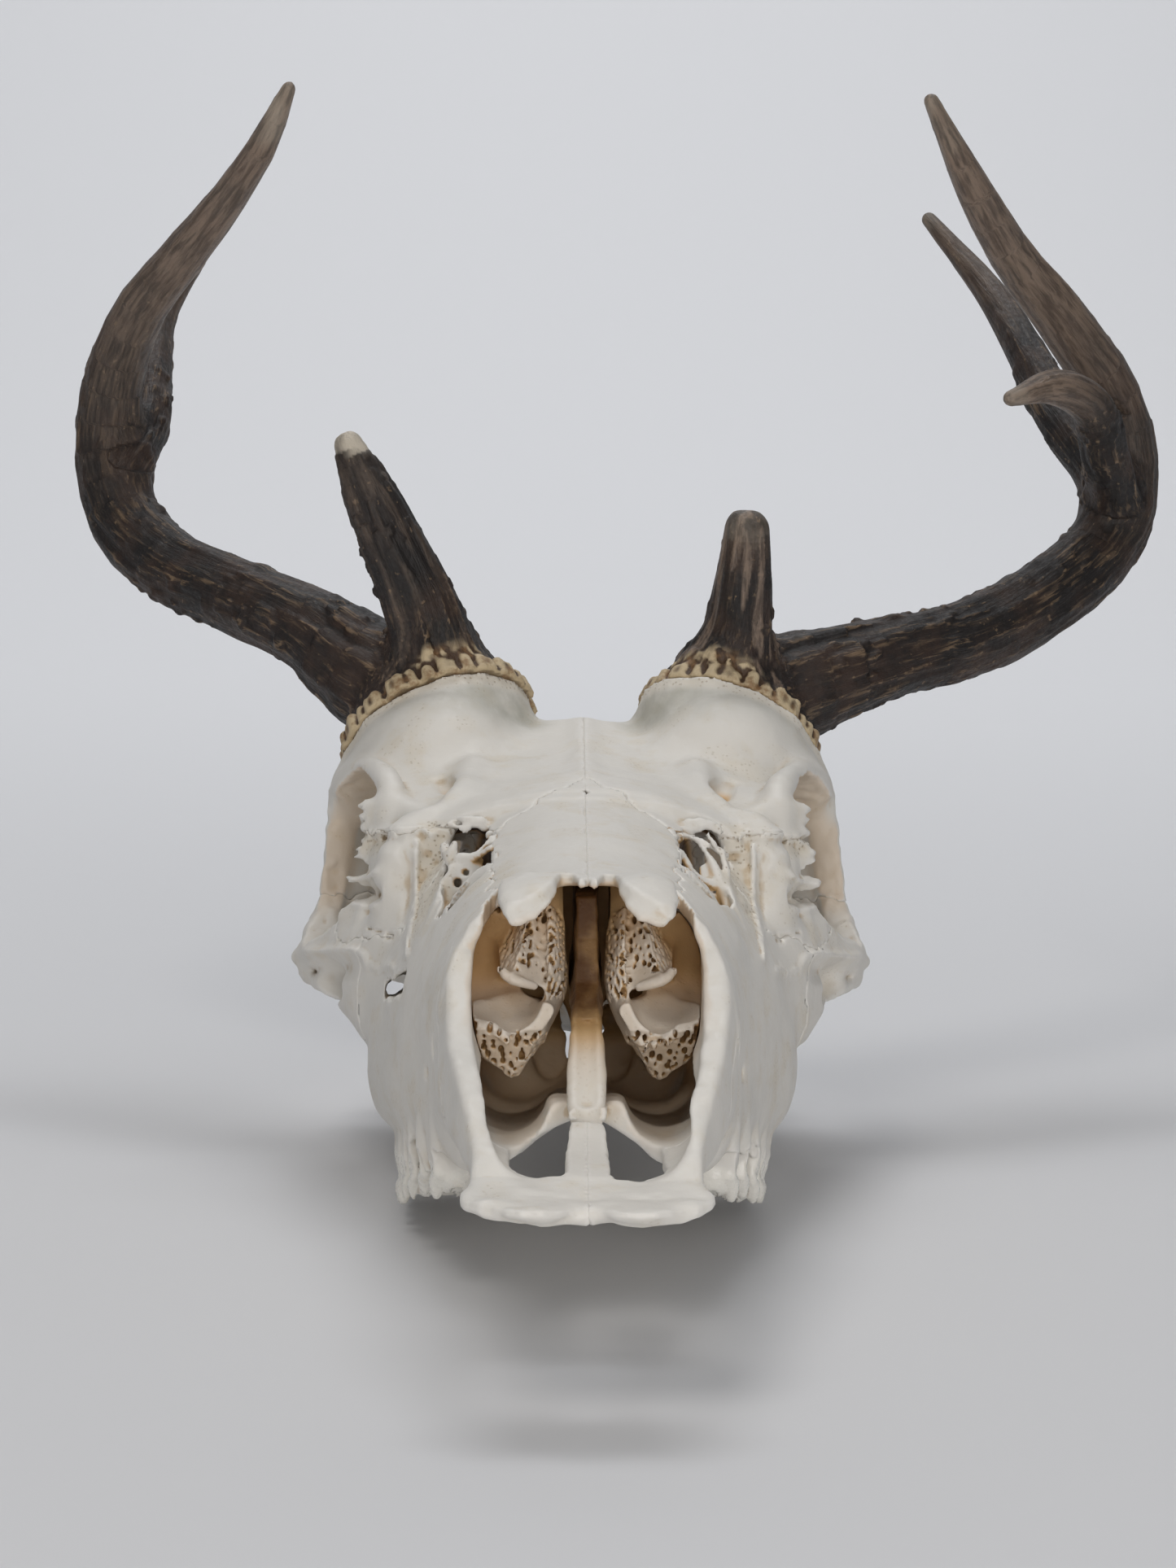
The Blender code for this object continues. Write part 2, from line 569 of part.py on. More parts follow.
ANTLERS = {
    "right": {
        "beam": [(31, 211, 101, 14), (44, 215, 107, 12.5), (58, 221, 117, 9.4), (76, 236, 126, 8.4), (95, 254, 136, 8.2),
                 (107, 267, 149, 8.2), (111, 271, 165, 8), (109, 265, 181, 6.8), (103, 254, 193, 6), (91, 239, 204, 5),
                 (78.5, 222, 214.5, 4), (68, 205, 226, 3.2), (64.5, 200, 232, 2.6)],
        "brow": [(30, 205, 104, 12), (33, 200, 116, 8.5), (38, 195, 128, 7), (44, 192, 141, 5.8), (50, 190, 154, 3)],
        "rear": [(108, 268, 160, 6), (104, 280, 172, 6), (104, 292, 186, 5), (103, 306, 203, 3.6), (96, 318, 218, 1.6)],
    },
    "left": {
        "beam": [(31, 211, 101, 13.5), (45, 214, 106, 12), (66, 224, 113, 9), (88, 240, 120, 8.6), (108, 255, 132, 8.6),
                 (122, 265, 146, 8.4), (126, 268, 162, 8), (122, 262, 178, 7), (111, 250, 191, 6.2), (96, 236, 205, 5),
                 (84, 218, 218, 4), (74, 205, 232, 2.8)],
        "brow": [(30, 205, 104, 12), (32.5, 200, 116, 7.2), (33.5, 195, 127, 5.9), (34, 191, 137, 4.6)],
        "rear": [(121, 266, 160, 6), (113, 278, 175, 6), (107, 293, 193, 5), (99, 309, 212, 3.6), (86, 322, 232, 1.8)],
        "hook": [(124, 264, 152, 6), (119, 250, 162, 5.6), (113, 236, 172, 4.8), (103, 225, 174, 3.8), (93, 217, 170, 1.7)],
    },
}
ANTLER_CELL = 1.3
# where a slab parts the antler: branch, place along it from 0 to 1, radius of the slab
FORKS = [("beam", 0.17, 19), ("beam", 0.45, 14), ("brow", 0.37, 13), ("rear", 0.3, 12), ("hook", 0.24, 10)]


def burr(bm, sign, radius):
    """Ring of pearls round the foot of the antler."""
    centre = PEDICLE_HEAD + BURR_AXIS * 1.6
    across = BURR_AXIS.cross(Vector((0, 1, 0))).normalized()
    ahead = across.cross(BURR_AXIS)
    for k in range(BURR_PEARLS):
        angle = 2 * pi * k / BURR_PEARLS
        spoke = across * cos(angle) + ahead * sin(angle)
        place = centre + spoke * (radius - 2.2)
        size = 2.9 + 0.5 * sin(5 * angle)
        add_ball(bm, (sign * place.x, place.y, place.z), (size, size, size * 0.9), segments=10)
    foot, head = centre - BURR_AXIS * 0.9, centre + BURR_AXIS * 6
    add_sweep(bm, [(sign * foot.x, foot.y, foot.z, radius - 2), (sign * head.x, head.y, head.z, radius - 7)],
              up=(0, 1, 0), count=3, corners=24)


def make_antler(side, parts, cutters):
    sign = SIDES[side]
    bm = bmesh.new()
    burr(bm, sign, BURR_RADIUS[side])
    paths = {}
    for branch, points in ANTLERS[side].items():
        points = [(sign * x, y, z, r) for x, y, z, r in points]
        add_sweep(bm, points, up=(0.3, 0.8, -0.5), count=30, corners=14)
        end = smooth_path(points, 30)
        add_ball(bm, end[-1][:3], [end[-1][3]] * 3, segments=10)
        paths[branch] = end
    antler = mesh_object(f"antler_{side}", bm, parts)
    fuse(antler, ANTLER_CELL, ANTLER_TRIANGLES + 200 * (side == "left"), 2)
    bm = bmesh.new()
    axis, head = (Vector((sign * v.x, v.y, v.z)) for v in (BURR_AXIS, PEDICLE_HEAD))
    add_disc(bm, head + axis * (BONE_GAP - SEAT_DEPTH / 2), axis, SEAT_RADIUS + 12, SEAT_DEPTH)
    for branch, at, radius in FORKS:
        if branch not in paths:
            continue
        path = paths[branch]
        i = round(at * (len(path) - 1))
        place, along = Vector(path[i][:3]), Vector(path[i + 1][:3]) - Vector(path[i - 1][:3])
        add_disc(bm, place, along, radius, BONE_GAP)
    tool = mesh_object("slabs", bm, cutters, cutter=True)
    boolean(antler, tool, "DIFFERENCE")
    bpy.data.objects.remove(tool)
    seeds = {f"antler_base_{side}": paths["beam"][1], f"antler_beam_{side}": paths["beam"][11],
             f"antler_crown_{side}": paths["beam"][24], f"brow_tine_{side}": paths["brow"][22],
             f"rear_tine_{side}": paths["rear"][22]}
    if "hook" in paths:
        seeds[f"hook_tine_{side}"] = paths["hook"][22]
    return part_by_seeds(antler, seeds, parts)


def part_by_seeds(obj, seeds, parts):
    """Each loose body takes the name of the seed that lies in it."""
    bm, bodies = islands(obj)
    bm.faces.ensure_lookup_table()
    centres = [np.array([bm.faces[i].calc_center_median() for i in body]) for body in bodies]
    made = []
    for name, seed in seeds.items():
        nearest = [np.linalg.norm(c - seed[:3], axis=1).min() for c in centres]
        body = bodies[int(np.argmin(nearest))]
        piece = copy_of(obj, name)
        own = bm.copy()
        own.faces.ensure_lookup_table()
        kept = set(body)
        bmesh.ops.delete(own, geom=[f for f in own.faces if f.index not in kept], context="FACES")
        own.to_mesh(piece.data)
        own.free()
        keep_largest(piece)
        made.append(piece)
    if len(bodies) != len(seeds):
        print(obj.name, "has", [len(b) for b in bodies], "bodies for", len(seeds), "names")
    bm.free()
    bpy.data.objects.remove(obj)
    return made


# ---------------------------------------------------------------- finish

def finish_of(name):
    """Colour, roughness and metallic value."""
    if name.startswith("brow_tine"):
        return "antler_dark", (0.06, 0.042, 0.028), 0.6, 0.0
    if name.startswith("antler_base"):
        return "burr_ivory", (0.42, 0.31, 0.19), 0.6, 0.0
    if "tine" in name or "antler" in name:
        return "antler_brown", (0.11, 0.07, 0.045), 0.5, 0.0
    if "turbinate" in name or "vomer" in name:
        return "bone_inner", (0.62, 0.46, 0.31), 0.6, 0.0
    return "bone", (0.8, 0.76, 0.69), 0.5, 0.0


def give_finish(obj):
    name, colour, roughness, metallic = finish_of(obj.name)
    finish = bpy.data.materials.get(name)
    if finish is None:
        finish = bpy.data.materials.new(name)
        finish.use_nodes = True
        shader = finish.node_tree.nodes["Principled BSDF"]
        shader.inputs["Base Color"].default_value = (*colour, 1)
        shader.inputs["Roughness"].default_value = roughness
        shader.inputs["Metallic"].default_value = metallic
        finish.diffuse_color = (*colour, 1)
    obj.data.materials.clear()
    obj.data.materials.append(finish)


def bounds(objects):
    corners = np.concatenate([np.array([v.co for v in o.data.vertices]) for o in objects])
    return corners.min(axis=0), corners.max(axis=0)


def set_down(objects, cutters):
    """Tip the skull to its rest, trim its contacts flat and put the footprint's middle at the origin."""
    tilt = Matrix.Rotation(REST_TILT, 4, "X")
    for obj in objects:
        obj.data.transform(tilt)
    low, high = bounds(objects)
    floor = low[2] + FLOOR_TRIM
    print("lowest points", sorted((round(float(bounds([o])[0][2] - low[2]), 2), o.name) for o in objects)[:4])
    for obj in objects:
        if bounds([obj])[0][2] < floor:
            bm = bmesh.new()
            bmesh.ops.create_cube(bm, size=2, matrix=Matrix.Translation((0, 100, floor - FAR))
                                  @ Matrix.Diagonal((FAR, FAR, FAR, 1)))
            tool = mesh_object("floor", bm, cutters, cutter=True)
            boolean(obj, tool, "DIFFERENCE")
            bpy.data.objects.remove(tool)
            keep_largest(obj)
            print("touches the floor:", obj.name)
    middle = (low + high) / 2
    shift = Matrix.Translation((-middle[0], -middle[1], -floor))
    place = Matrix.Scale(MILLIMETRE, 4) @ shift
    for obj in objects:
        obj.data.transform(place)
        give_finish(obj)
    return place @ tilt


def main():
    for obj in list(bpy.data.objects):
        bpy.data.objects.remove(obj)
    parts = bpy.data.collections.new("deer_skull")
    cutters = bpy.data.collections.new("cutters")
    for collection in (parts, cutters):
        bpy.context.scene.collection.children.link(collection)
    objects = make_skull(parts, cutters)
    objects += make_nose_inside(parts, cutters)
    for side in SIDES:
        objects += make_antler(side, parts, cutters)
    placement = set_down(objects, cutters)
    for obj in objects:
        obj.data.shade_smooth()
        obj.data.set_sharp_from_angle(angle=radians(40))
        print(f"{obj.name:22s} {len(obj.data.polygons):5d} triangles")
    print("total", sum(len(o.data.polygons) for o in objects))
    return placement


placement = main()
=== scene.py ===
import bpy
import math
import numpy as np
from mathutils import Matrix, Vector


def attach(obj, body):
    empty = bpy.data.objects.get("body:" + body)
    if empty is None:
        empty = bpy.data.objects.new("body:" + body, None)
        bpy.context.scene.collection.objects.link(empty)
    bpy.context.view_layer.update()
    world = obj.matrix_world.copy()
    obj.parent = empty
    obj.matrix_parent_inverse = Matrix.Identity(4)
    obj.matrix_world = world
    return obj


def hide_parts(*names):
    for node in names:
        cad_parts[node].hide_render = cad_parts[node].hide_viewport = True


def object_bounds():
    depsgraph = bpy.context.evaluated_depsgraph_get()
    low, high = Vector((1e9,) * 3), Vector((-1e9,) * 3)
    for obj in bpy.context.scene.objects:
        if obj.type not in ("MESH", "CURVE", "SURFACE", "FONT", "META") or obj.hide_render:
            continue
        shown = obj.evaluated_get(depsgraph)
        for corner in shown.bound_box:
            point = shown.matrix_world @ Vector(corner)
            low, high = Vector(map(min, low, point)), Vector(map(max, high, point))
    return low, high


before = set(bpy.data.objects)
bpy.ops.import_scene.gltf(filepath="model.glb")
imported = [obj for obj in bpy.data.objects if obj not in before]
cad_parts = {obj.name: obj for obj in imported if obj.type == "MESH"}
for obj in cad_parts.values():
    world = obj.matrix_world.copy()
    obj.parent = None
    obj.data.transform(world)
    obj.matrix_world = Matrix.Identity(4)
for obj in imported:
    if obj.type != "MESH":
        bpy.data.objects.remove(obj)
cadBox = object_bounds()
print("frame loaded")

# Sizes are millimetres in the skull's own frame: x to the animal's left, y back from the snout's tip, z up from the
# teeth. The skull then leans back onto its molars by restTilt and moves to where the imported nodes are.
restTilt = math.radians(-9.9)
restShift = (-7.590912, -180.467919, 28.606512)
toPart = Matrix.Scale(0.001, 4) @ Matrix.Translation(restShift) @ Matrix.Rotation(restTilt, 4, "X")
coarse = 1
farAway = 9.0                  # distances are only kept this near to a surface
spare = 2.5                    # room around a form, beside its blend
zUp = (0, 0, 1)
bothSides = (1, -1)
everywhere = (slice(None),) * 3


# distance fields: bone is too irregular for edit-mode work, so its forms are summed in a grid and skinned

def curveAt(knots, at):  # smooth value between the knots of a profile
    if not isinstance(knots, dict):
        return knots + 0 * np.asarray(at, float)
    xs = np.array(sorted(knots), float)
    ys = np.array([knots[x] for x in sorted(knots)], float)
    slopes = np.gradient(ys, xs)
    at = np.clip(at, xs[0], xs[-1])
    i = np.clip(np.searchsorted(xs, at) - 1, 0, len(xs) - 2)
    step = xs[i + 1] - xs[i]
    t = (at - xs[i]) / step
    return ((1 + 2 * t) * (1 - t) ** 2 * ys[i] + t * (1 - t) ** 2 * step * slopes[i]
            + t * t * (3 - 2 * t) * ys[i + 1] + t * t * (t - 1) * step * slopes[i + 1])


def smoothPath(points, count):  # evenly spaced points of a smooth curve, radii and all
    points = np.array([list(p) for p in points], float)
    length = np.concatenate([[0], np.cumsum(np.linalg.norm(np.diff(points[:, :3], axis=0), axis=1))])
    at = np.linspace(0, length[-1], count)
    return np.array([curveAt(dict(zip(length, column)), at) for column in points.T]).T


def polygonDistance(u, v, outline):
    outline = np.array(outline, np.float32)
    best, inside = None, None
    for a, b in zip(outline, np.roll(outline, -1, axis=0)):
        e = b - a
        wu, wv = u - a[0], v - a[1]
        t = np.clip((wu * e[0] + wv * e[1]) / (e @ e), 0, 1)
        d = (wu - e[0] * t) ** 2 + (wv - e[1] * t) ** 2
        best = d if best is None else np.minimum(best, d)
        crosses = ((a[1] <= v) != (b[1] <= v)) & ((v - a[1]) * e[0] / (e[1] if e[1] else 1) + a[0] > u)
        inside = crosses if inside is None else inside ^ crosses
    return np.where(inside, -1, 1) * np.sqrt(best)


def blended(d, other, blend):  # the nearer of two distances, rounded where they meet
    h = np.clip(0.5 + 0.5 * (d - other) / blend, 0, 1)
    return d + (other - d) * h - blend * h * (1 - h)


class Field:  # distances to a surface on a grid, in mm, below 0 inside
    def __init__(self, low, high, step):
        self.step = step
        self.low = np.floor(np.array(low, float) / step) * step
        self.shape = np.ceil((np.array(high, float) - self.low) / step).astype(int) + 2
        self.axes = [self.low[a] + step * np.arange(self.shape[a]) for a in range(3)]
        self.d = np.full(self.shape, farAway, np.float32)

    def grid(self, kind=np.float32):  # x, y and z of the whole grid
        x, y, z = (a.astype(kind) for a in self.axes)
        return x[:, None, None], y[None, :, None], z[None, None, :]

    def window(self, low, high):  # the part of the grid inside a box, and its x, y, z
        cut = []
        for a in range(3):
            i, j = np.searchsorted(self.axes[a], (low[a], high[a]))
            if j <= i:
                return None, None
            cut.append(slice(int(i), int(j)))
        x, y, z = (self.axes[a][cut[a]].astype(np.float32) for a in range(3))
        return tuple(cut), (x[:, None, None], y[None, :, None], z[None, None, :])

    def join(self, cut, other, blend):
        self.d[cut] = blended(self.d[cut], other, blend)

    def carve(self, cut, other, blend):
        self.d[cut] = -blended(-self.d[cut], other, blend)

    def carveBoth(self, first, second, rough, blend):  # carve where both are, over the whole grid
        self.carve(everywhere, np.minimum(np.maximum(first, second) + rough, farAway), blend)

    def limit(self, *others):  # keep only what is inside the others too
        for other in others:
            self.d = np.maximum(self.d, other)
        self.d = self.d.astype(np.float32)

    def outline(self, points, plane):  # distance to an outline drawn in a plane, the same left and right
        rows = dict(zip("xyz", (a.astype(np.float32) for a in (np.abs(self.axes[0]), *self.axes[1:]))))
        u, v = (rows[k] for k in plane)
        flat = polygonDistance(u[:, None] + 0 * v[None], v[None] + 0 * u[:, None], points)
        return np.expand_dims(flat, {"yz": 0, "xz": 1, "xy": 2}[plane])


def ellipsoid(x, y, z, centre, radii, turn=0.0, tip=0.0):  # turned about z and x by degrees
    m = (Matrix.Rotation(math.radians(turn), 3, "Z") @ Matrix.Rotation(math.radians(tip), 3, "X")).transposed()
    px, py, pz = x - centre[0], y - centre[1], z - centre[2]
    q = [(m[i][0] * px + m[i][1] * py + m[i][2] * pz) / radii[i] for i in range(3)]
    k0 = np.sqrt(q[0] ** 2 + q[1] ** 2 + q[2] ** 2) + 1e-6
    k1 = np.sqrt((q[0] / radii[0]) ** 2 + (q[1] / radii[1]) ** 2 + (q[2] / radii[2]) ** 2) + 1e-6
    return k0 * (k0 - 1) / k1


def ball(field, centre, radii, turn=0.0, tip=0.0, blend=2.0, hole=False, rough=None, sides=(1,)):
    reach = max(radii) + blend + spare
    for side in sides:
        middle = (side * centre[0], centre[1], centre[2])
        cut, at = field.window([c - reach for c in middle], [c + reach for c in middle])
        if cut is None:
            continue
        other = ellipsoid(at[0] * side, at[1], at[2], centre, radii, turn, tip)
        if rough is not None:
            other = other + rough[cut]
        (field.carve if hole else field.join)(cut, other, blend)


def tube(field, points, up=zUp, blend=2.0, hole=False, rough=None, sides=(1,), pieces=None):
    # a limb along a path; a fifth number is the second radius, towards up
    points = [p if len(p) == 5 else (*p, p[3]) for p in points]
    length = sum(math.dist(a[:3], b[:3]) for a, b in zip(points, points[1:]))
    count = pieces or int(min(48, max(6, length / 3.0)))
    path = smoothPath(points, count)
    reach = path[:, 3:5].max() + blend + spare

    def boxed(low, high, side):  # the window of a box or of its mirror image
        if side < 0:
            low[0], high[0] = -high[0], -low[0]
        return field.window(low, high)

    for side in sides:
        cut, _ = boxed(path[:, :3].min(0) - reach, path[:, :3].max(0) + reach, side)
        if cut is None:
            continue
        total = np.full([s.stop - s.start for s in cut], farAway, np.float32)
        for p, q in zip(path, path[1:]):
            r = max(p[3], p[4], q[3], q[4]) + blend + 2
            small, at = boxed(np.minimum(p[:3], q[:3]) - r, np.maximum(p[:3], q[:3]) + r, side)
            if small is None:
                continue
            inner = tuple(slice(s.start - c.start, s.stop - c.start) for s, c in zip(small, cut))
            total[inner] = np.minimum(total[inner], limb(at[0] * side, at[1], at[2], p, q, up))
        if rough is not None:
            total = total + rough[cut]
        (field.carve if hole else field.join)(cut, total, blend)


def limb(x, y, z, p, q, up):
    along = q[:3] - p[:3]
    length = np.linalg.norm(along)
    along = along / length
    side = np.cross(along, up)
    side /= np.linalg.norm(side)
    rise = np.cross(side, along)
    px, py, pz = x - p[0], y - p[1], z - p[2]
    far = px * along[0] + py * along[1] + pz * along[2]
    t = np.clip(far / length, 0, 1)
    a = p[3] + (q[3] - p[3]) * t
    b = p[4] + (q[4] - p[4]) * t
    u = px * side[0] + py * side[1] + pz * side[2]
    v = px * rise[0] + py * rise[1] + pz * rise[2]
    w = far - t * length
    c = np.minimum(a, b)
    k0 = np.sqrt((u / a) ** 2 + (v / b) ** 2 + (w / c) ** 2) + 1e-6
    k1 = np.sqrt((u / a ** 2) ** 2 + (v / b ** 2) ** 2 + (w / c ** 2) ** 2) + 1e-6
    return k0 * (k0 - 1) / k1


def addForms(field, rows, rough=None, sides=bothSides):
    # rows: add or cut, path or centre, direction of the thin side or radii, blend, share of roughness, turn, tip;
    # forms on the midline are taken once
    for act, at, facing, blend, *rest in rows:
        share, turn, tip = (*rest, 0, 0, 0)[:3]
        isPath = isinstance(at, list)
        here = sides if any(p[0] for p in (at if isPath else [at])) else (1,)
        extra = rough * share if share else None
        if isPath:
            tube(field, at, facing, blend, act == "cut", extra, here)
        else:
            ball(field, at, facing, turn, tip, blend, act == "cut", extra, here)


def loft(field, ends, half, middle, base, top, nUp, nDown, blend=2.0, hole=False):
    # body along y whose sections are superellipses
    reach = blend + spare
    wide = max(curveAt(half, y) for y in np.linspace(*ends, 30)) + reach
    cut, at = field.window((-wide, ends[0] - reach, -40), (wide, ends[1] + reach, 140))
    if cut is None:
        return
    x, y, z = at
    w, mid, low, high, n = (curveAt(k, y).astype(np.float32) for k in (half, middle, base, top, nUp))
    above = z >= mid
    h = np.where(above, high - mid, mid - low)
    n = np.where(above, n, nDown)
    qx, qz = np.abs(x) / w + 1e-5, np.abs(z - mid) / h + 1e-5
    a, b = qx ** n, qz ** n
    r = (a + b) ** (1 / n)
    slope = np.sqrt((a / qx / w) ** 2 + (b / qz / h) ** 2) / r ** (n - 1)
    other = (r - 1) / slope
    other = np.maximum(other, np.maximum(ends[0] - y, y - ends[1]))
    (field.carve if hole else field.join)(cut, np.minimum(other, farAway), blend)


def alongAxis(values, a):  # one row of values, laid along axis a of a grid
    return values.reshape([-1 if k == a else 1 for k in range(3)])


def sampled(source, field):  # a coarse field of one half read on a finer grid of both
    out = source.d
    for a, at in enumerate((np.abs(field.axes[0]), *field.axes[1:])):
        at = np.clip((at - source.low[a]) / source.step, 0, source.shape[a] - 1.001)
        i = at.astype(int)
        t = alongAxis((at - i).astype(np.float32), a)
        out = np.take(out, i, a) * (1 - t) + np.take(out, i + 1, a) * t
    return out


def cornerSum(values, i, t):  # value between the eight grid points around each place
    total = 0
    for corner in range(8):
        o = np.array([corner & 1, corner >> 1 & 1, corner >> 2])
        j = (i + o) % values.shape
        total = total + np.prod(np.where(o, t, 1 - t), axis=1) * values[j[:, 0], j[:, 1], j[:, 2]]
    return total


tileSize = 40
noiseTiles = {}


def noiseTile(seed):
    if seed not in noiseTiles:
        noiseTiles[seed] = np.random.default_rng(seed).uniform(-1, 1, (tileSize,) * 3).astype(np.float32)
    return noiseTiles[seed]


def gridNoise(field, size, seed):  # smooth noise on a whole grid; size is mm, one or three
    size = (size,) * 3 if np.isscalar(size) else size
    out = noiseTile(seed)
    for a in range(3):
        at = field.axes[a] / size[a]
        i = np.floor(at).astype(int)
        t = (at - i).astype(np.float32)
        t = alongAxis(t * t * (3 - 2 * t), a)
        out = np.take(out, i % tileSize, a) * (1 - t) + np.take(out, (i + 1) % tileSize, a) * t
    return out


def noiseSum(field, *layers):  # layers of size, seed and height
    total = 0
    for size, seed, height in layers:
        total = total + gridNoise(field, size, seed) * height
    return total


def pointNoise(points, size, seed):
    at = points / np.array(size, float)
    i = np.floor(at).astype(int)
    t = at - i
    return cornerSum(noiseTile(seed), i, t * t * (3 - 2 * t))


def ramp(value, low, high):
    t = np.clip((value - low) / (high - low), 0, 1)
    return t * t * (3 - 2 * t)


# 1 between stops, rising from the first to the second and falling from the third to the fourth
def within(value, *stops):
    return ramp(value, stops[0], stops[1]) * ramp(value, stops[3], stops[2])


def skin(field):  # surface nets: one vertex per crossed cell, one quad per crossed edge
    d = field.d
    for a in range(3):  # the grid's rim is always outside
        for end in (0, -1):
            rim = [slice(None)] * 3
            rim[a] = end
            d[tuple(rim)] = np.maximum(d[tuple(rim)], 0.05)
    inside = d < 0
    nx, ny, nz = (n - 1 for n in d.shape)
    corners = np.zeros((nx, ny, nz), np.int8)
    for o in np.ndindex(2, 2, 2):
        corners += inside[o[0]:o[0] + nx, o[1]:o[1] + ny, o[2]:o[2] + nz]
    cells = np.argwhere((corners > 0) & (corners < 8))
    number = np.full((nx, ny, nz), -1, np.int32)
    number[tuple(cells.T)] = np.arange(len(cells))
    total, hits = np.zeros((len(cells), 3)), np.zeros(len(cells))
    for axis in range(3):
        others = [k for k in range(3) if k != axis]
        for u, v in np.ndindex(2, 2):
            o = np.zeros(3, int)
            o[others[0]], o[others[1]] = u, v
            start = cells + o
            end = start.copy()
            end[:, axis] += 1
            a, b = d[tuple(start.T)], d[tuple(end.T)]
            hit = (a < 0) != (b < 0)
            t = np.where(hit, a / np.where(hit, a - b, 1), 0)
            total[hit] += o
            total[hit, axis] += t[hit]
            hits += hit
    points = field.low + (cells + total / hits[:, None]) * field.step
    faces = []
    for axis in range(3):
        u, v = ((axis + 1) % 3, (axis + 2) % 3)
        a = [slice(None)] * 3
        b = [slice(None)] * 3
        a[axis], b[axis] = slice(None, -1), slice(1, None)
        for k in (u, v):
            a[k] = b[k] = slice(1, -1)
        first, second = inside[tuple(a)], inside[tuple(b)]
        for edges, flip in ((first & ~second, False), (~first & second, True)):
            at = np.argwhere(edges)
            at[:, u] += 1
            at[:, v] += 1
            quad = []
            for du, dv in ((1, 1), (0, 1), (0, 0), (1, 0)):
                c = at.copy()
                c[:, u] -= du
                c[:, v] -= dv
                quad.append(number[tuple(c.T)])
            quad = np.array(quad).T
            faces.append(quad[:, ::-1] if flip else quad)
    return points, np.concatenate(faces)


def edgesOf(faces):
    return np.concatenate([faces[:, [k, (k + 1) % 4]] for k in range(4)])


def mainBodies(points, faces, smallest):  # connected bodies, without small crumbs
    label = np.arange(len(points))
    edges = edgesOf(faces)
    while True:
        low = np.minimum(label[edges[:, 0]], label[edges[:, 1]])
        new = label.copy()
        np.minimum.at(new, edges[:, 0], low)
        np.minimum.at(new, edges[:, 1], low)
        new = new[new]
        new = new[new]
        if (new == label).all():
            break
        label = new
    names, counts = np.unique(label, return_counts=True)
    kept = np.isin(label, names[counts >= smallest])
    index = np.cumsum(kept) - 1
    return points[kept], index[faces[kept[faces[:, 0]]]]


def vertexShape(points, faces, rounds=6):  # normals and how proud (+) or hollow (-) each point is, in mm
    edges = edgesOf(faces)
    diag1, diag2 = points[faces[:, 2]] - points[faces[:, 0]], points[faces[:, 3]] - points[faces[:, 1]]
    flat = np.cross(diag1, diag2)
    normal = np.zeros_like(points)
    for k in range(4):
        for a in range(3):
            normal[:, a] += np.bincount(faces[:, k], flat[:, a], len(points))
    normal /= np.linalg.norm(normal, axis=1)[:, None] + 1e-9
    count = np.bincount(edges[:, 0], minlength=len(points))[:, None] + 1e-9
    smooth = points.copy()
    for _ in range(rounds):
        near = np.stack([np.bincount(edges[:, 0], smooth[edges[:, 1], a], len(points)) for a in range(3)], 1)
        smooth = 0.5 * smooth + 0.5 * near / count
    proud = ((points - smooth) * normal).sum(1)
    return normal, proud


triangleCounts = []


def makePiece(name, field, node, slot, marks, smallest=400):
    points, faces = mainBodies(*skin(field), smallest)
    normal, proud = vertexShape(points, faces)
    mesh = bpy.data.meshes.new(name)
    place = np.array(toPart)
    spots = points @ place[:3, :3].T + place[:3, 3]
    margin = 0.00001
    spots = np.clip(spots, np.array(cadBox[0]) + margin, np.array(cadBox[1]) - margin)
    mesh.vertices.add(len(points))
    mesh.vertices.foreach_set("co", spots.astype(np.float32).ravel())
    mesh.loops.add(len(faces) * 4)
    mesh.loops.foreach_set("vertex_index", faces.astype(np.int32).ravel())
    mesh.polygons.add(len(faces))
    mesh.polygons.foreach_set("loop_start", np.arange(len(faces), dtype=np.int32) * 4)
    mesh.update(calc_edges=True)
    values = {"proud": np.clip(proud / field.step + 0.5, 0, 1), **marks(points, normal)}
    for key, value in values.items():
        value = np.asarray(value, np.float32)
        layer = mesh.attributes.new(key, "FLOAT" if value.ndim == 1 else "FLOAT_VECTOR", "POINT")
        layer.data.foreach_set("value" if value.ndim == 1 else "vector", value.ravel())
    piece = bpy.data.objects.new(name, mesh)
    bpy.context.scene.collection.objects.link(piece)
    bpy.ops.object.select_all(action="DESELECT")
    piece.select_set(True)
    bpy.context.view_layer.objects.active = piece
    bpy.ops.object.shade_smooth()
    mesh.materials.append(materials[slot])
    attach(piece, "root")
    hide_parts(node)
    triangleCounts.append(len(faces) * 2)
    print(f"{name}: {len(faces) * 2} triangles")


# the skull's forms

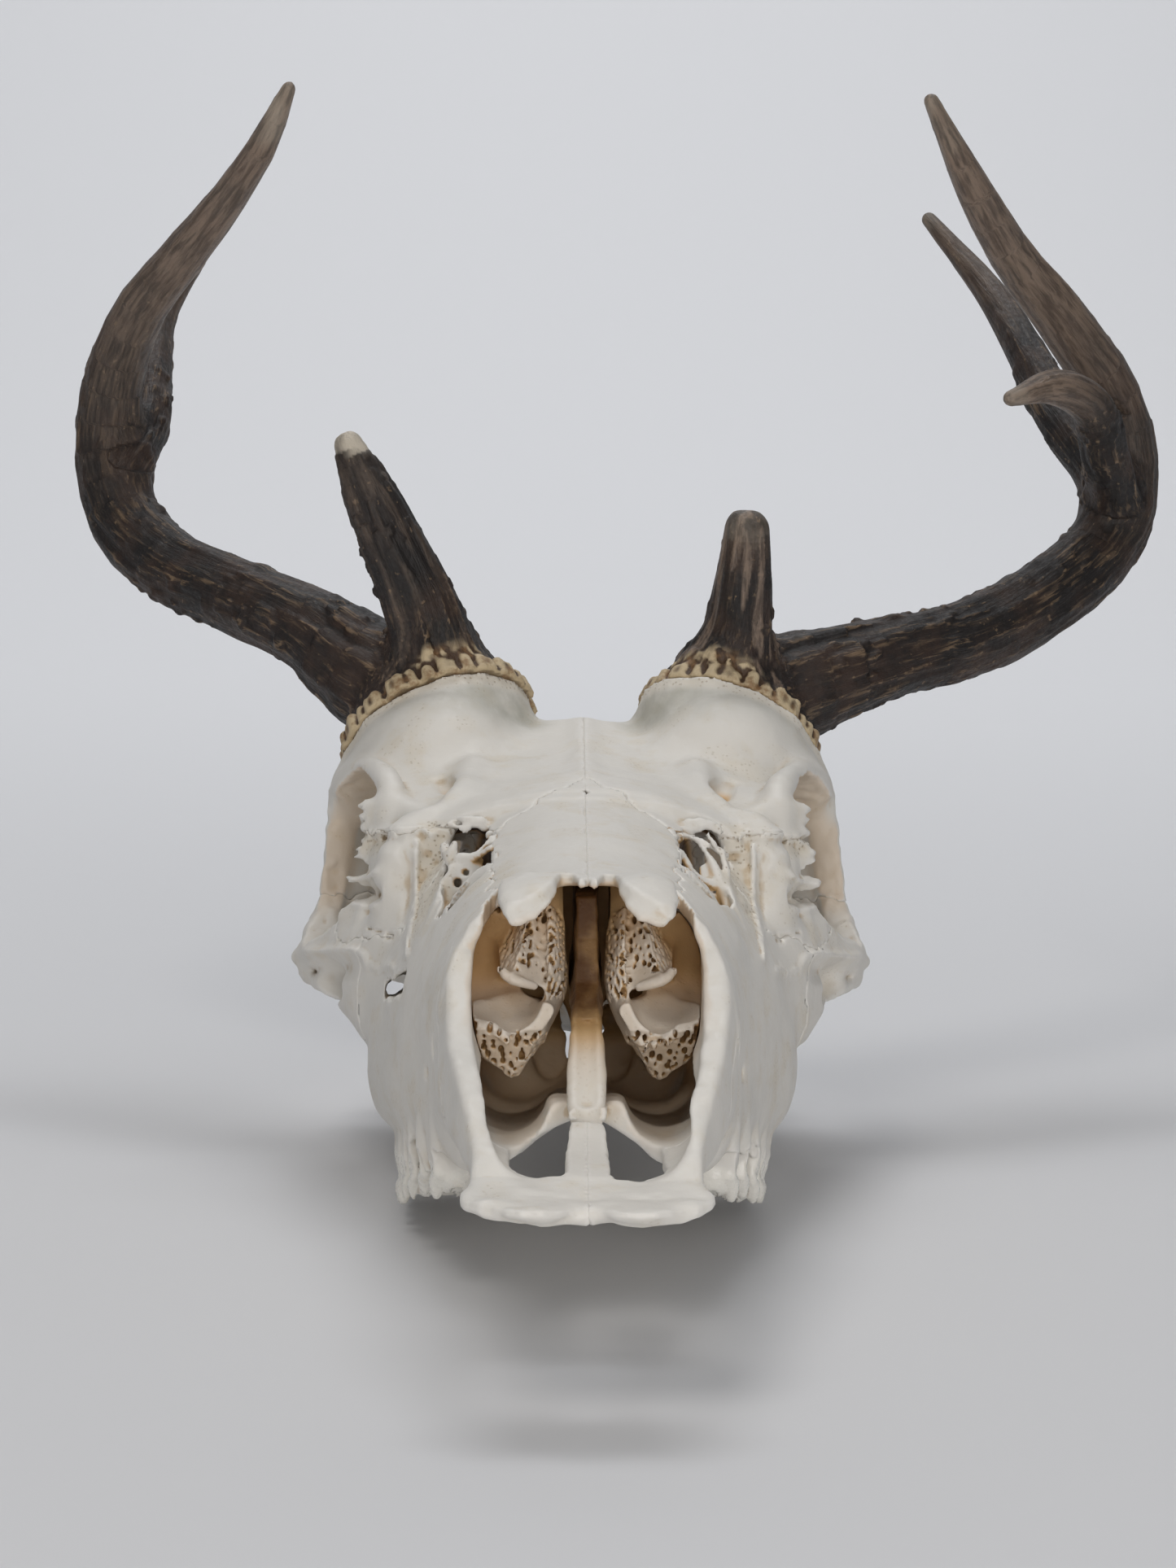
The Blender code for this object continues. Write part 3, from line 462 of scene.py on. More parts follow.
skull = {
    "roof": {6: 9, 20: 26, 40: 45, 60: 59, 80: 63, 100: 68, 120: 73, 146: 80, 160: 84, 175: 88.5,
             190: 93.5, 202: 97, 214: 97.5, 228: 95.5, 242: 90, 254: 82, 264: 73, 268: 64},
    "snoutHalf": {6: 16, 11: 19.6, 16: 19, 22: 18.6, 30: 19.9, 38: 21.8, 48: 24, 62: 26, 80: 27.5, 100: 32, 120: 37.5,
        140: 41.5, 152: 41},
    "snoutMid": {6: 7, 28: 15, 48: 26, 62: 31, 80: 28, 120: 29, 140: 31, 152: 33},
    "snoutBase": {6: 5.5, 28: 9, 48: 11.5, 80: 11.5, 120: 9.5, 152: 8.5},
    "snoutRound": {6: 2.2, 60: 2.5, 90: 2.4, 120: 2.1, 152: 2},
    "coreHalf": {142: 30, 158: 26, 172: 22, 185: 23, 198: 29, 212: 34, 228: 36, 242: 34.5, 254: 31.5, 263: 28,
        268: 21},
    "coreMid": {142: 60, 190: 66, 228: 64, 254: 54, 268: 50},
    "coreBase": {142: 42, 165: 44, 190: 44, 205: 40, 225: 36, 250: 34, 268: 38},
    "browHalf": {138: 30, 150: 35, 160: 39, 172: 44.5, 184: 49.5, 196: 52.5, 203: 51, 209: 42},
    "browMid": {138: 68.5, 150: 71.8, 160: 75, 172: 78, 184: 80.7, 196: 82.4, 203: 83.9, 209: 84.2},
    "browThick": 3.0,
}
nose = {
    "half": {14: 9, 22: 12.6, 30: 15.2, 40: 18, 50: 19.2, 57: 19.6, 75: 20.5, 100: 22.5, 128: 24, 148: 19},
    "mid": {14: 14, 22: 18, 40: 29, 57: 39, 80: 38, 120: 42, 148: 46},
    "floor": {14: 10.5, 30: 14, 50: 21, 90: 22, 128: 23, 148: 25},
    "roofThick": {14: 2.2, 60: 2.2, 80: 3, 110: 4, 148: 4},
    "trough": [(8.4, 15, 14.6, 4.6, 4), (10.6, 32, 18, 6.6, 6), (12.8, 50, 22, 6.6, 7.2), (13.5, 90, 24, 7.5, 7.2),
        (12.5, 140, 26, 7.5, 7)],
    "vaultHalf": {46: 17, 80: 17.5, 110: 19.5, 175: 20},
    "vaultTop": {46: 19.2, 90: 19.6, 130: 20, 175: 20},
}
orbit = {"centre": (50, 175.5, 66.5), "radii": (27, 21.5, 19), "turn": -19}
pedicle = {"foot": (29.5, 194, 84), "head": (30.6, 207.5, 94.5), "radius": 19.0,
           "axis": Vector((0.33, 0.5, 0.8)).normalized(), "seat": (19.0, 20.4), "reach": 26}
teethRow = {
    "start": 82.0, "sizes": [(11, 9, 1), (12, 10.5, 1), (11, 12, 1), (14, 14, 2), (15.5, 15, 2), (15, 14, 2)],
    "outer": {82: 26, 100: 30, 120: 34, 140: 35.5, 160: 34.5}, "low": 1, "lower": 0.6,
    "tip": {80: 4, 100: 2.2, 120: 0.5, 140: -0.8, 160: -0.6},
    "sockets": {"y": (80, 95, 110, 125, 140, 152), "in": 6.8, "z": 17, "radii": (6.6, 8.5)},
}
skull["limbs"] = [
    ("add", [(0, 8, 7, 3.4, 2.4), (0, 30, 11, 3.2, 3), (0, 56, 16, 3.4, 3.4)], zUp, 1),
    ("add", [(0, 200, 40, 10, 6), (0, 235, 36, 10, 5.5), (0, 264, 37, 11, 6)], zUp, 5),
    ("add", (0, 265, 77), (6, 4, 7), 4),
    # broad flat lobe of the snout's tip
    ("add", (8.6, 13.4, 7.0), (8.2, 12, 2.4), 2, 0, -8),
    ("add", (15.4, 12.6, 8.2), (4.7, 6, 1.5), 1.2, 0, -18, 10),
    # rim of the eye socket
    ("add", [(40, 153, 62, 2.6), (38.5, 159, 79, 2.8), (43, 173, 84.6, 2.4), (47.5, 188, 84.6, 2.4),
        (50.2, 199, 77, 2.6), (52, 199, 64, 2.3), (54, 191, 50.5, 3.0), (51, 175, 46, 2.8), (44.5, 160.5, 49.5, 2.8),
        (40, 153, 62, 2.6)], (1, -0.35, 0.05), 2.5),
    # cheek and the arch back to the braincase
    ("add", [(30, 132, 40, 6, 11), (38, 144, 43, 6, 12), (46, 160, 45, 4.5, 8.5), (52, 175, 45.5, 4, 5),
        (54.6, 189, 48.5, 3.4, 5), (55, 199, 51.5, 2.8, 4.2), (52.5, 209, 55, 2.6, 4), (46, 217, 56, 3, 4.5),
        (36, 224, 54, 6, 6)], zUp, 3),
    ("add", [(43, 153, 52, 6, 2.5), (47.5, 163, 51.5, 4.4, 2.3), (52, 175, 50, 3.4, 2.2), (56.5, 186, 47.8, 2.8, 2),
        (59.6, 191.5, 46.6, 1.2, 1.0)], (-0.87, 0.45, 0), 2),
    ("add", [(54, 186, 46, 3), (57.6, 190.5, 43.4, 1.2)], zUp, 1.5),
    # broad bar behind the eye, and the tear bone's flat face before it
    ("add", [(48.8, 202, 47, 8, 2.0), (48.9, 202, 58, 8.2, 1.8), (48.6, 202.5, 68, 8, 1.8), (47.2, 203.5, 79, 8, 2.4),
        (44, 205, 88, 8, 4)], (0.69, 0.72, 0), 2.5),
    ("add", [(37.5, 156.5, 76, 9.5, 2.2), (39, 155.5, 68, 10.4, 2.1), (40, 155.5, 60, 11, 2.1),
        (40, 154, 52, 9.5, 2.5)], (-0.5, 0.86, 0), 2),
    ("add", (33.5, 146, 58), (7.5, 10, 17), 4, 0, 25),
    ("add", (40.5, 148, 35), (3.5, 12, 5.5), 3, 0, -22),
    # jaw joint, ear and the processes that the skull stands on behind
    ("add", (33, 222, 47), (13, 9, 6.5), 4),
    ("add", [(24, 236, 43, 6), (34, 238, 46, 5), (40, 239.5, 49, 4)], (0, 1, 0), 3),
    ("add", (17, 232, 30), (7.5, 12, 8.5), 3, 0, 15),
    ("add", [(26, 246, 48, 8, 8), (25, 249, 34, 6.5, 4.5), (24, 252, 22, 4.5, 3.2), (23, 253, 14.6, 2.9, 2.6)],
        (0, 1, 0), 3),
    ("add", (11.5, 266, 38), (7.5, 9, 10.5), 2.5, 0, 25, 10),
    ("add", [(0, 262, 80, 3.2), (16, 260.5, 75, 3), (27, 255, 62, 2.8), (31, 249, 48, 3)], zUp, 3),
    ("add", [(12, 134, 26, 2, 8), (12.5, 160, 29, 1.9, 13), (12, 185, 31, 1.8, 13), (11, 204, 34, 2, 8)], zUp, 2),
]
skull["molarRoot"] = [
    ("add", (28.5, 151, 26), (9.5, 11, 17), 4),
]
nose["backHollows"] = [
    ("cut", [(6.3, 120, 29, 4.6, 9), (6.3, 150, 31, 4.4, 8.5), (6, 182, 32, 4.4, 9), (6, 212, 30, 4.4, 7)], zUp, 1.5),
    ("cut", (0, 272, 48.5), (9.8, 15, 8.6), 2, 0, 0, -12),
]


def shifted(knots, by):
    return {y: v + float(curveAt(by, y)) for y, v in knots.items()}


def skullForms():  # the half on the animal's left
    f = Field((-4, -4, -8), (64, 280, 118), 1.0)
    s, sockets = skull, teethRow["sockets"]
    loft(f, (7, 152), s["snoutHalf"], s["snoutMid"], s["snoutBase"], s["roof"], s["snoutRound"], 4, 1.5)
    loft(f, (142, 267), s["coreHalf"], s["coreMid"], s["coreBase"], s["roof"], 2.1, 2.2, 4)
    loft(f, (138, 208), s["browHalf"], s["browMid"], shifted(s["browMid"], -s["browThick"]), shifted(s["roof"], -0.5),
         2.2, 2.2, 3)
    addForms(f, s["limbs"], sides=(1,))
    row = [(curveAt(teethRow["outer"], y) - sockets["in"], y, sockets["z"], *sockets["radii"]) for y in sockets["y"]]
    tube(f, row, blend=3)
    addForms(f, s["molarRoot"], sides=(1,))
    foot, head, axis, r = Vector(pedicle["foot"]), Vector(pedicle["head"]), pedicle["axis"], pedicle["radius"]
    stem = ((foot - axis * 8, r - 1), (foot, r - 0.5), (foot.lerp(head, 0.5), r - 1), (head, r), (head + axis * 6, r))
    tube(f, [(*point, radius) for point, radius in stem], up=(0, 1, 0), blend=5)
    loft(f, (14, 148), nose["half"], nose["mid"], nose["floor"],
         shifted(s["roof"], {y: -t for y, t in nose["roofThick"].items()}),
         2.9, 2.5, 1, hole=True)
    tube(f, nose["trough"], hole=True, blend=2)
    loft(f, (46, 175), nose["vaultHalf"], 3, -12, nose["vaultTop"], 1.5, 2.4, 2, hole=True)
    addForms(f, nose["backHollows"], sides=(1,))
    return f


# outlines that part the bones, taken in this order

far = 400
bones = {
    "nasal": {"plan": [(0, 45), (15.4, 45), (17.6, 127), (0, 148)], "low": 44},
    "premaxilla": {"side": [(-10, -10), (38, -10), (45, 12), (72, 50), (60, 62), (-10, 62)]},
    "frontal": {"side": [(108, 71), (160, 71), (166, 60), (211, 60), (217, far), (108, far)]},
    "lacrimal": {"side": [(128, 52), (152, 49), (172, 56), (172, 76), (126, 76)], "x": 22},
    "zygomatic": {"side": [(143, 30), (212, 30), (210, 76), (152, 76), (143, 55)], "x": 35.5},
    "maxilla": {"side": [(10, -20), (164, -20), (164, 44), (150, 50), (150, 90), (10, 90)]},
}
occipitalSide = [(258, 100), (245, 60), (244, -20), (300, -20), (300, 100)]


def boneRegion(field, kind, jag):
    x, y, z = field.grid()
    shape = bones[kind]
    if "plan" in shape:
        flat = field.outline(shape["plan"], "xy")
        # the midline isn't a border here: the other side has the same bone
        flat = np.where((np.abs(x) < 8) & (flat > -8) & (y < 140), -8.0, flat)
        return np.maximum(flat + jag, shape["low"] - z)
    out = field.outline(shape["side"], "yz") + jag
    return np.maximum(out, shape["x"] - np.abs(x) + jag) if "x" in shape else out


suture = {"gap": -0.08, "midline": -0.1, "teeth": (((1.7, 1.9, 1.7), 5, 1.0), (4.5, 6, 0.9)),
          "junction": {"y": 147.5, "wide": 2.5, "more": 0.45}}   # where four bones meet


def serration(field):  # interlocking teeth of the sutures, the same for both neighbours
    return noiseSum(field, *suture["teeth"]).astype(np.float32)


# openings and small forms, cut into the fine grid of each bone

openings = {  # outlines in the plan (x, y), from the side (y, z) or from the front (x, z)
    "slope": [(-10, 7.3), (3, 7.3), (11, 8.9), (18, 11.4), (22.5, 15.5), (30, 20.8), (40, 28), (50, 34.8), (57, 42),
        (61, 48), (60.5, 54), (58.5, 95), (-10, 95)],
    "nasalEdge": [(0, 65.5), (0.5, 64.2), (1.7, 63.8), (2.3, 66.4), (3.0, 69.6), (4.6, 69.8), (5.5, 67), (6.0, 63),
        (7.6, 60.4), (10, 58.9), (12.6, 57.8), (14.6, 58.4), (15.4, 62), (15.6, 72), (15.9, 79), (16.7, 78),
        (17.8, 68), (17.8, 20), (-1, 20), (-1, 64.5)],
    "fissure": [(3.4, 22), (4.6, 19.8), (8, 20.6), (11.4, 24.5), (13, 31), (13.3, 44), (12.7, 49.5), (8, 53.4),
        (3.3, 56.5)],
    "tearGap": [(17.4, 99), (21, 97), (24.6, 100), (26.6, 109), (26.8, 120), (26.8, 129), (27.6, 136), (26.4, 137.4),
        (25.8, 134.8), (25.0, 137.0), (24.0, 133.2), (23.3, 136.4), (22.2, 132.6), (21.6, 135.2), (20.6, 131.4),
        (19.9, 133.4), (19.0, 130.0), (17.8, 131)],
    "eyeRim": [(45.8, 92), (46.4, 80.4), (45.0, 79.6), (46.3, 78.6), (44.4, 77.6), (45.9, 76.9), (44.0, 75.8),
        (45.3, 74.9), (43.8, 73.6), (44.8, 72.4), (43.0, 71.2), (44.4, 69.4), (43.8, 68.8), (45.8, 68.2),
        (44.6, 67.4), (46.0, 66.6), (43.6, 66.0), (43.8, 65.2), (41.2, 64.6), (40.6, 63.6), (43.4, 63.2),
        (47.6, 62.6), (47.2, 61.6), (45.2, 61.0), (45.8, 59.4), (46.0, 57.4), (48.9, 54.9), (52.4, 51.6),
        (55.4, 50.2), (60, 47.6), (75, 44), (75, 92)],
    "edges": {"slope": (0.3, 1.4), "nasalEdge": (0.3, 0.5), "fissure": (0.3, 0.8), "tearGap": (0.55, 0.6),
              "eyeRim": (0.45, 0.4)},   # share of roughness, blend
    "noseTip": {"half": 15.2, "low": 50.5}, "nasalLow": 49, "fissureTop": 27, "gapLow": 46,
    "eyeBack": {"y": 162, "x": 43, "slope": 1.75}, "rough": ((1.8, 11, 0.45), (4.0, 12, 0.8)), "fray": (1.1, 13, 0.5),
    "snoutLips": [
        ("add", [(8.6, 71, 60.2, 3.4, 1.3), (8.6, 64.5, 58.6, 3.4, 1.5), (8.8, 60.6, 56.2, 3.0, 1.4),
            (9.8, 58.8, 53.6, 1.8, 1.1)], (0, -0.75, 0.66), 1.6, 0.3),
        ("add", [(12.4, 71, 59.4, 2.8, 1.3), (12.6, 64.5, 57.6, 2.8, 1.5), (12.7, 60.4, 55.0, 2.5, 1.4),
            (12.2, 58.8, 52.6, 1.7, 1.0)], (0, -0.75, 0.66), 1.6, 0.3)],
    "palateEdge": [
        ("add", [(9, 151, 19, 1.0, 5.4), (8.6, 153, 27, 1.0, 5.4), (9.4, 156, 36, 1.0, 4.6)], (1, 0, 0), 1.5, 1),
    ],
    "rooms": [  # dark room behind the gap before the eye
        ("cut", (21.8, 141, 62.4), (5.9, 21, 9.8), 0.8, 0.6, -6, 10),
        # thins the brow's ragged edge
        ("cut", (22.4, 135, 68.6), (4.6, 7.5, 4.8), 0.8, 0, 20),
    ],
    "besideEye": [
        # arch below the cheek's crest
        ("cut", (53.8, 163, 41.8), (7.6, 11, 4.6), 1.6, 0, -28, 6),
        ("cut", [(28.5, 75.5, 31, 1.3, 2.2), (25, 81, 31.3, 1.3, 2.0), (21, 88, 31.6, 1.2, 1.6)], zUp, 0.8),
        ("cut", (28.4, 87, 26), (1.2, 1.4, 1.0), 0.6),
        ("cut", [(33.2, 149.0, 69, 1.1), (33.0, 146.2, 62, 1.6), (32.8, 139.2, 54, 1.5), (32.8, 130.6, 48, 1.0)], zUp,
            0.9, 0.4),
        ("cut", (35.2, 151, 62.6), (3.0, 3.0, 1.5), 1.2, 0, 25),
        ("cut", (44, 159.5, 59.4), (5.4, 3.2, 1.6), 0.8, 0, 30),
        *[("cut", spot, (0.7, 2, 0.6), 0.3)
            for spot in ((36.5, 150.4, 69), (39.6, 152.4, 70.2), (34.2, 149.6, 66.2))],
        # brow nerve: a slit below the fold, and the valley that leaves it
        ("cut", [(29.4, 166, 83.0, 1.3, 1.04), (27.2, 160.5, 80.4, 1.9, 1.52), (25.2, 156, 79.2, 1.3, 1.04)],
            (0.3, 0, 1), 0.7),
        ("cut", [(30, 164, 85.0, 2.2), (30, 156, 82, 3.2), (32.5, 149, 79, 3.0)], zUp, 3.5),
    ],
    "cheekCrack": [
        ("cut", [(-34.4, 114, 41.4, 1.5, 3.2), (-35.4, 130, 41.3, 1.5, 3.2), (-37, 150, 41.2, 1.6, 3.2),
            (-40, 186, 41, 1.8, 3.2)], (0.7, 0, 0.7), 0.8, 0.4),
    ],
}


def seatPlace(x, y, z):  # height over the antler's seat and distance from its axis
    head, axis = pedicle["head"], pedicle["axis"]
    q = (x - head[0], y - head[1], z - head[2])
    lift = axis[0] * q[0] + axis[1] * q[1] + axis[2] * q[2]
    return lift, np.sqrt(np.maximum(q[0] ** 2 + q[1] ** 2 + q[2] ** 2 - lift ** 2, 0))


def cutOpenings(field):
    x, y, z = field.grid()
    ax = np.abs(x)
    o = openings
    rough = noiseSum(field, *o["rough"])
    fray = rough * 1.6 + noiseSum(field, o["fray"])

    def cutOut(kind, form, other, ragged):  # carve where an opening's form and its limit are both
        share, blend = o["edges"][kind]
        field.carveBoth(form, other, ragged * share, blend)

    if field.axes[1][0] < 100:   # the snout
        tip = o["noseTip"]
        cutOut("slope", field.outline(o["slope"], "yz"), np.minimum(tip["half"] - ax, z - tip["low"]), rough)
        cutOut("nasalEdge", field.outline(o["nasalEdge"], "xy"), o["nasalLow"] - z, rough)
        addForms(field, o["snoutLips"], rough)
        cutOut("fissure", field.outline(o["fissure"], "xy"), z - o["fissureTop"], rough)
    addForms(field, o["palateEdge"], rough)
    cutOut("tearGap", field.outline(o["tearGap"], "xy"), o["gapLow"] - z, fray)
    addForms(field, o["rooms"], rough)
    back = o["eyeBack"]
    rim = np.minimum(field.outline(o["eyeRim"], "xz"), back["y"] + back["slope"] * (ax - back["x"]) - y)
    cutOut("eyeRim", ellipsoid(ax, y, z, orbit["centre"], orbit["radii"], orbit["turn"]), rim, fray)
    addForms(field, o["besideEye"], rough)
    addForms(field, o["cheekCrack"], fray, (1,))
    # seat of the antler, with the lip around it
    head, axis = Vector(pedicle["head"]), pedicle["axis"]
    for side in bothSides:
        lip = [(side * p[0], p[1], p[2], r) for p, r in zip((head - axis * 2.2, head - axis * 0.2), pedicle["seat"])]
        tube(field, lip, up=(0, 1, 0), blend=2.0, rough=rough * 0.5, pieces=4)
        lift, away = seatPlace(side * x, y, z)
        field.carveBoth(-lift, away - pedicle["reach"], 0, 0.4)
    lacework(field)


lace = {  # thin bone left standing in the gap before the eye, different on each side
    "plates": [  # path with both radii, and the direction its thin side faces
        ([(-16.8, 108, 63.2, 0.5, 2.2), (-20, 107, 61, 0.5, 3.0), (-23.5, 108, 57.5, 0.5, 3.0),
            (-26.2, 111, 52.5, 0.5, 1.6)], (0, -1, 0.5)),
        ([(-20.6, 120, 65.4, 1.4, 0.45), (-22.4, 118, 62.6, 2.8, 0.45), (-24.4, 117, 58.6, 2.4, 0.45),
            (-25.6, 117, 55.4, 1.2, 0.5)], (0, -1, 0.3)),
        ([(17, 106, 63.6, 0.5, 1.8), (20.5, 105, 60.6, 0.5, 2.2), (24, 107, 56, 0.5, 2.2), (26.6, 111, 51, 0.5, 1.4)],
            (0, -1, 0.5)),
        ([(22.5, 120, 64, 1.0, 0.5), (24.5, 117, 58, 2.2, 0.5), (27, 118, 52, 2.0, 0.6)], (0, -1, 0.3)),
    ],
    "leaf": [("add", [(17.8, 102.5, 63.0, 2.0, 0.6), (21.2, 105, 60.0, 2.8, 0.6), (24.6, 110.5, 56.4, 2.8, 0.6),
        (27.2, 117.5, 53.2, 1.8, 0.6)], (0.45, -0.6, 0.66), 0.6)],
    "holes": [((-24.0, 117.4, 60.6), 1.1), ((-22.5, 118, 62.6), 0.95), ((-21.2, 119.5, 64.4), 0.5),
        ((-22.0, 118, 60.2), 0.4), ((24.4, 118, 59.4), 0.7)],
    "struts": [
        [(-17.6, 122, 69.5, 0.55), (-20, 120, 66.5, 0.4), (-22, 119, 64, 0.6)],
        [(-18, 116, 67.2, 0.5), (-20.5, 118, 65.6, 0.45), (-23.5, 119, 65.5, 0.5)],
        [(-26.8, 124, 67.5, 0.8), (-26, 121, 65.4, 0.45), (-24.4, 119, 62.5, 0.6)],
        [(-24.8, 120, 68, 0.35), (-25.4, 120, 66, 0.5)],
        [(17.6, 128, 70, 0.5), (21, 124, 69.6, 0.5), (25, 122, 67.4, 0.6), (28, 128, 66, 0.7)],
        [(21, 124, 69.4, 0.5), (23.6, 120, 65.5, 0.55), (25.6, 117, 60, 0.7), (26.6, 115, 55, 0.8)],
        [(26, 122, 67, 0.5), (26.6, 119, 62, 0.5), (25.8, 117, 59, 0.6)],
        [(23.6, 124, 72, 0.5), (23, 122, 70.6, 0.4), (24.4, 121, 68.4, 0.5)],
        [(17.8, 115, 66.6, 0.6), (20.6, 116, 62.4, 0.5), (23.6, 117, 60.6, 0.6)],
        [(19, 112, 63, 0.5), (22, 114, 57, 0.5), (25, 115, 53, 0.6)],
    ],
    "edge": {"x": 22.6, "z": 72.3, "bend": 0.12},   # line that the brow's ragged points hang from
    # x, length, width
    "points": [(19.5, 1.4, 1.0), (20.9, 2.9, 1.2), (22.4, 1.2, 0.9), (23.7, 2.4, 1.2), (25.3, 1.1, 0.9),
        (26.4, 2.0, 1.0)],
}


def lacework(field):
    for path, up in lace["plates"]:
        tube(field, path, up=up, blend=0.7)
    addForms(field, lace["leaf"])
    for place, radius in lace["holes"]:
        ball(field, place, (radius, 2.4, radius * 1.1), blend=0.3, hole=True)
    for path in lace["struts"]:
        tube(field, path, blend=0.8)
    # the brow's thin edge hangs over the gap in ragged points
    edge = lace["edge"]
    rough = noiseSum(field, (1.1, 13, 0.4), (1.8, 11, 0.3))
    for x, long, wide in lace["points"]:
        z = edge["z"] - edge["bend"] * (x - edge["x"]) ** 2
        path = [(x, 136.2, z + 1.2, wide, 0.7), (x, 135.2, z, wide * 0.9, 0.6),
                (x - 0.2, 134.6, z - long * 0.6, wide * 0.6, 0.45), (x - 0.3, 134.4, z - long, 0.25, 0.3)]
        tube(field, path, up=(0, -1, 0.2), blend=0.9, rough=rough, sides=bothSides, pieces=7)


crests = [
    # brow fold that overhangs the nerve slit
    ("add", [(23, 170, 84.6, 2.4), (24, 160, 80.8, 2.2), (26.4, 151, 77.2, 1.7), (30, 147, 74.4, 1.2)], zUp, 5),
    # standing ridge of the tear bone, its face turned forwards, and the crest of the cheek
    ("add", [(29.3, 150, 72.2, 3.2, 1.6), (28.9, 144, 65.6, 3.1, 1.7), (29.3, 135, 56.6, 2.7, 1.7),
        (30.6, 126, 49.1, 1.8, 1.5)], (0, -1, 0.6), 0.6, 0.9),
    ("add", [(44, 156, 49.2, 1.3), (49.5, 168, 49.2, 1.4), (54, 181, 48.2, 1.4), (58.6, 190.5, 46.2, 1.0)], zUp, 1.5),
    ("add", [(30, 118, 33.5, 1.6), (36, 134, 33, 1.8), (43, 150, 35.5, 1.8), (50, 168, 40, 1.6),
        (56.4, 188, 42.6, 1.4)], zUp, 3),
    # midline crest
    ("add", [(0, 150, 79.6, 1.2), (0, 175, 87.4, 1.6), (0, 200, 95.4, 1.4), (0, 216, 96.0, 1.4)], zUp, 4),
    # temporal line
    ("add", [(44, 209, 88, 1.2), (33, 226, 86, 1.1), (22, 244, 80, 1.0), (15, 257, 76, 1.0)], zUp, 2.5),
]
faceRelief = [  # y low and high, points in x and z, half width, height (below 0 a groove), how ragged it is
    ((136, 172), [(43, 71.4), (38.4, 71.8), (35.3, 71.6), (31.8, 71.8), (30.0, 70.2)], 0.8, 0.8, 0.8),
    ((112, 158), [(32.7, 69), (32.8, 62.3), (32.7, 56.8), (33.6, 50.9), (33.6, 47)], 0.55, 0.8, 0.5),
    ((112, 158), [(26.8, 68.4), (27.0, 62.3), (28.1, 56.8), (29.3, 52.8), (31, 47)], 0.55, 0.7, 0.5),
    ((130, 172), [(35, 67), (34.4, 64.9), (34.2, 58), (34.4, 53)], 0.9, -0.5, 0.3),
    ((140, 172), [(46.8, 62.0), (42.9, 62.4), (40.3, 63.4), (37.6, 65), (35.8, 67.4)], 0.6, 0.9, 0.3),
    ((140, 172), [(44.4, 59.2), (42.4, 59.4), (40, 58.8)], 1.5, -2.0, 0.2),
    ((140, 172), [(45.8, 57.2), (42, 56.6), (38, 57.2)], 0.7, 0.6, 0.3),
    ((134, 168), [(36.4, 62.6), (35.6, 61)], 2.0, -0.9, 0.2),
    ((134, 168), [(41.9, 52.0), (38.9, 51.3), (36.8, 50.8)], 0.3, -0.7, 0.3),
    ((134, 168), [(38.2, 50.1), (34, 50.5)], 0.3, -0.7, 0.3),
    ((140, 196), [(57, 47.8), (53.8, 47.6), (49.7, 47.9), (45.5, 48), (43, 46.9), (41.7, 45)], 0.8, 1.1, 0.3),
    ((140, 190), [(54, 44.0), (50, 44.6), (46.5, 44.4)], 2.0, -1.8, 0.2),
    ((120, 168), [(42, 45.2), (39.6, 44.2), (37.4, 45.2), (35.6, 44.0), (33.8, 45.4), (31.6, 44.4)], 0.6, 0.6, 0.8),
    ((60, 125), [(16.2, 55.7), (20.3, 52), (23.1, 45.6), (25.6, 37.8), (26.4, 32)], 0.4, 0.45, 0.2),
    ((128, 172), [(44, 69.6), (40, 69.4), (36.4, 69.6)], 1.3, -0.6, 0.9),
]


def drawRelief(field):
    x, z = field.axes[0].astype(np.float32), field.axes[2].astype(np.float32)
    y = field.grid()[1]
    wobble = noiseSum(field, (0.9, 21, 0.6), (2.2, 22, 0.7)).astype(np.float32)
    for (start, end), points, width, height, ragged in faceRelief:
        flat = np.full((len(x), len(z)), 1e6, np.float32)
        for (ax, az), (bx, bz) in zip(points, points[1:]):
            u, v = np.abs(x)[:, None] - ax, z[None, :] - az
            dx, dz = bx - ax, bz - az
            t = np.clip((u * dx + v * dz) / (dx * dx + dz * dz), 0, 1)
            flat = np.minimum(flat, (u - t * dx) ** 2 + (v - t * dz) ** 2)
        if flat.min() > 36 or y[0, -1, 0] < start or y[0, 0, 0] > end:
            continue
        away = np.sqrt(flat)[:, None, :] + wobble * ragged
        window = ramp(y, start - 2, start) * ramp(y, end + 2, end)
        field.d -= (height * (1 + 0.8 * ragged * wobble) * window * np.exp(-(away / width) ** 2)).astype(np.float32)


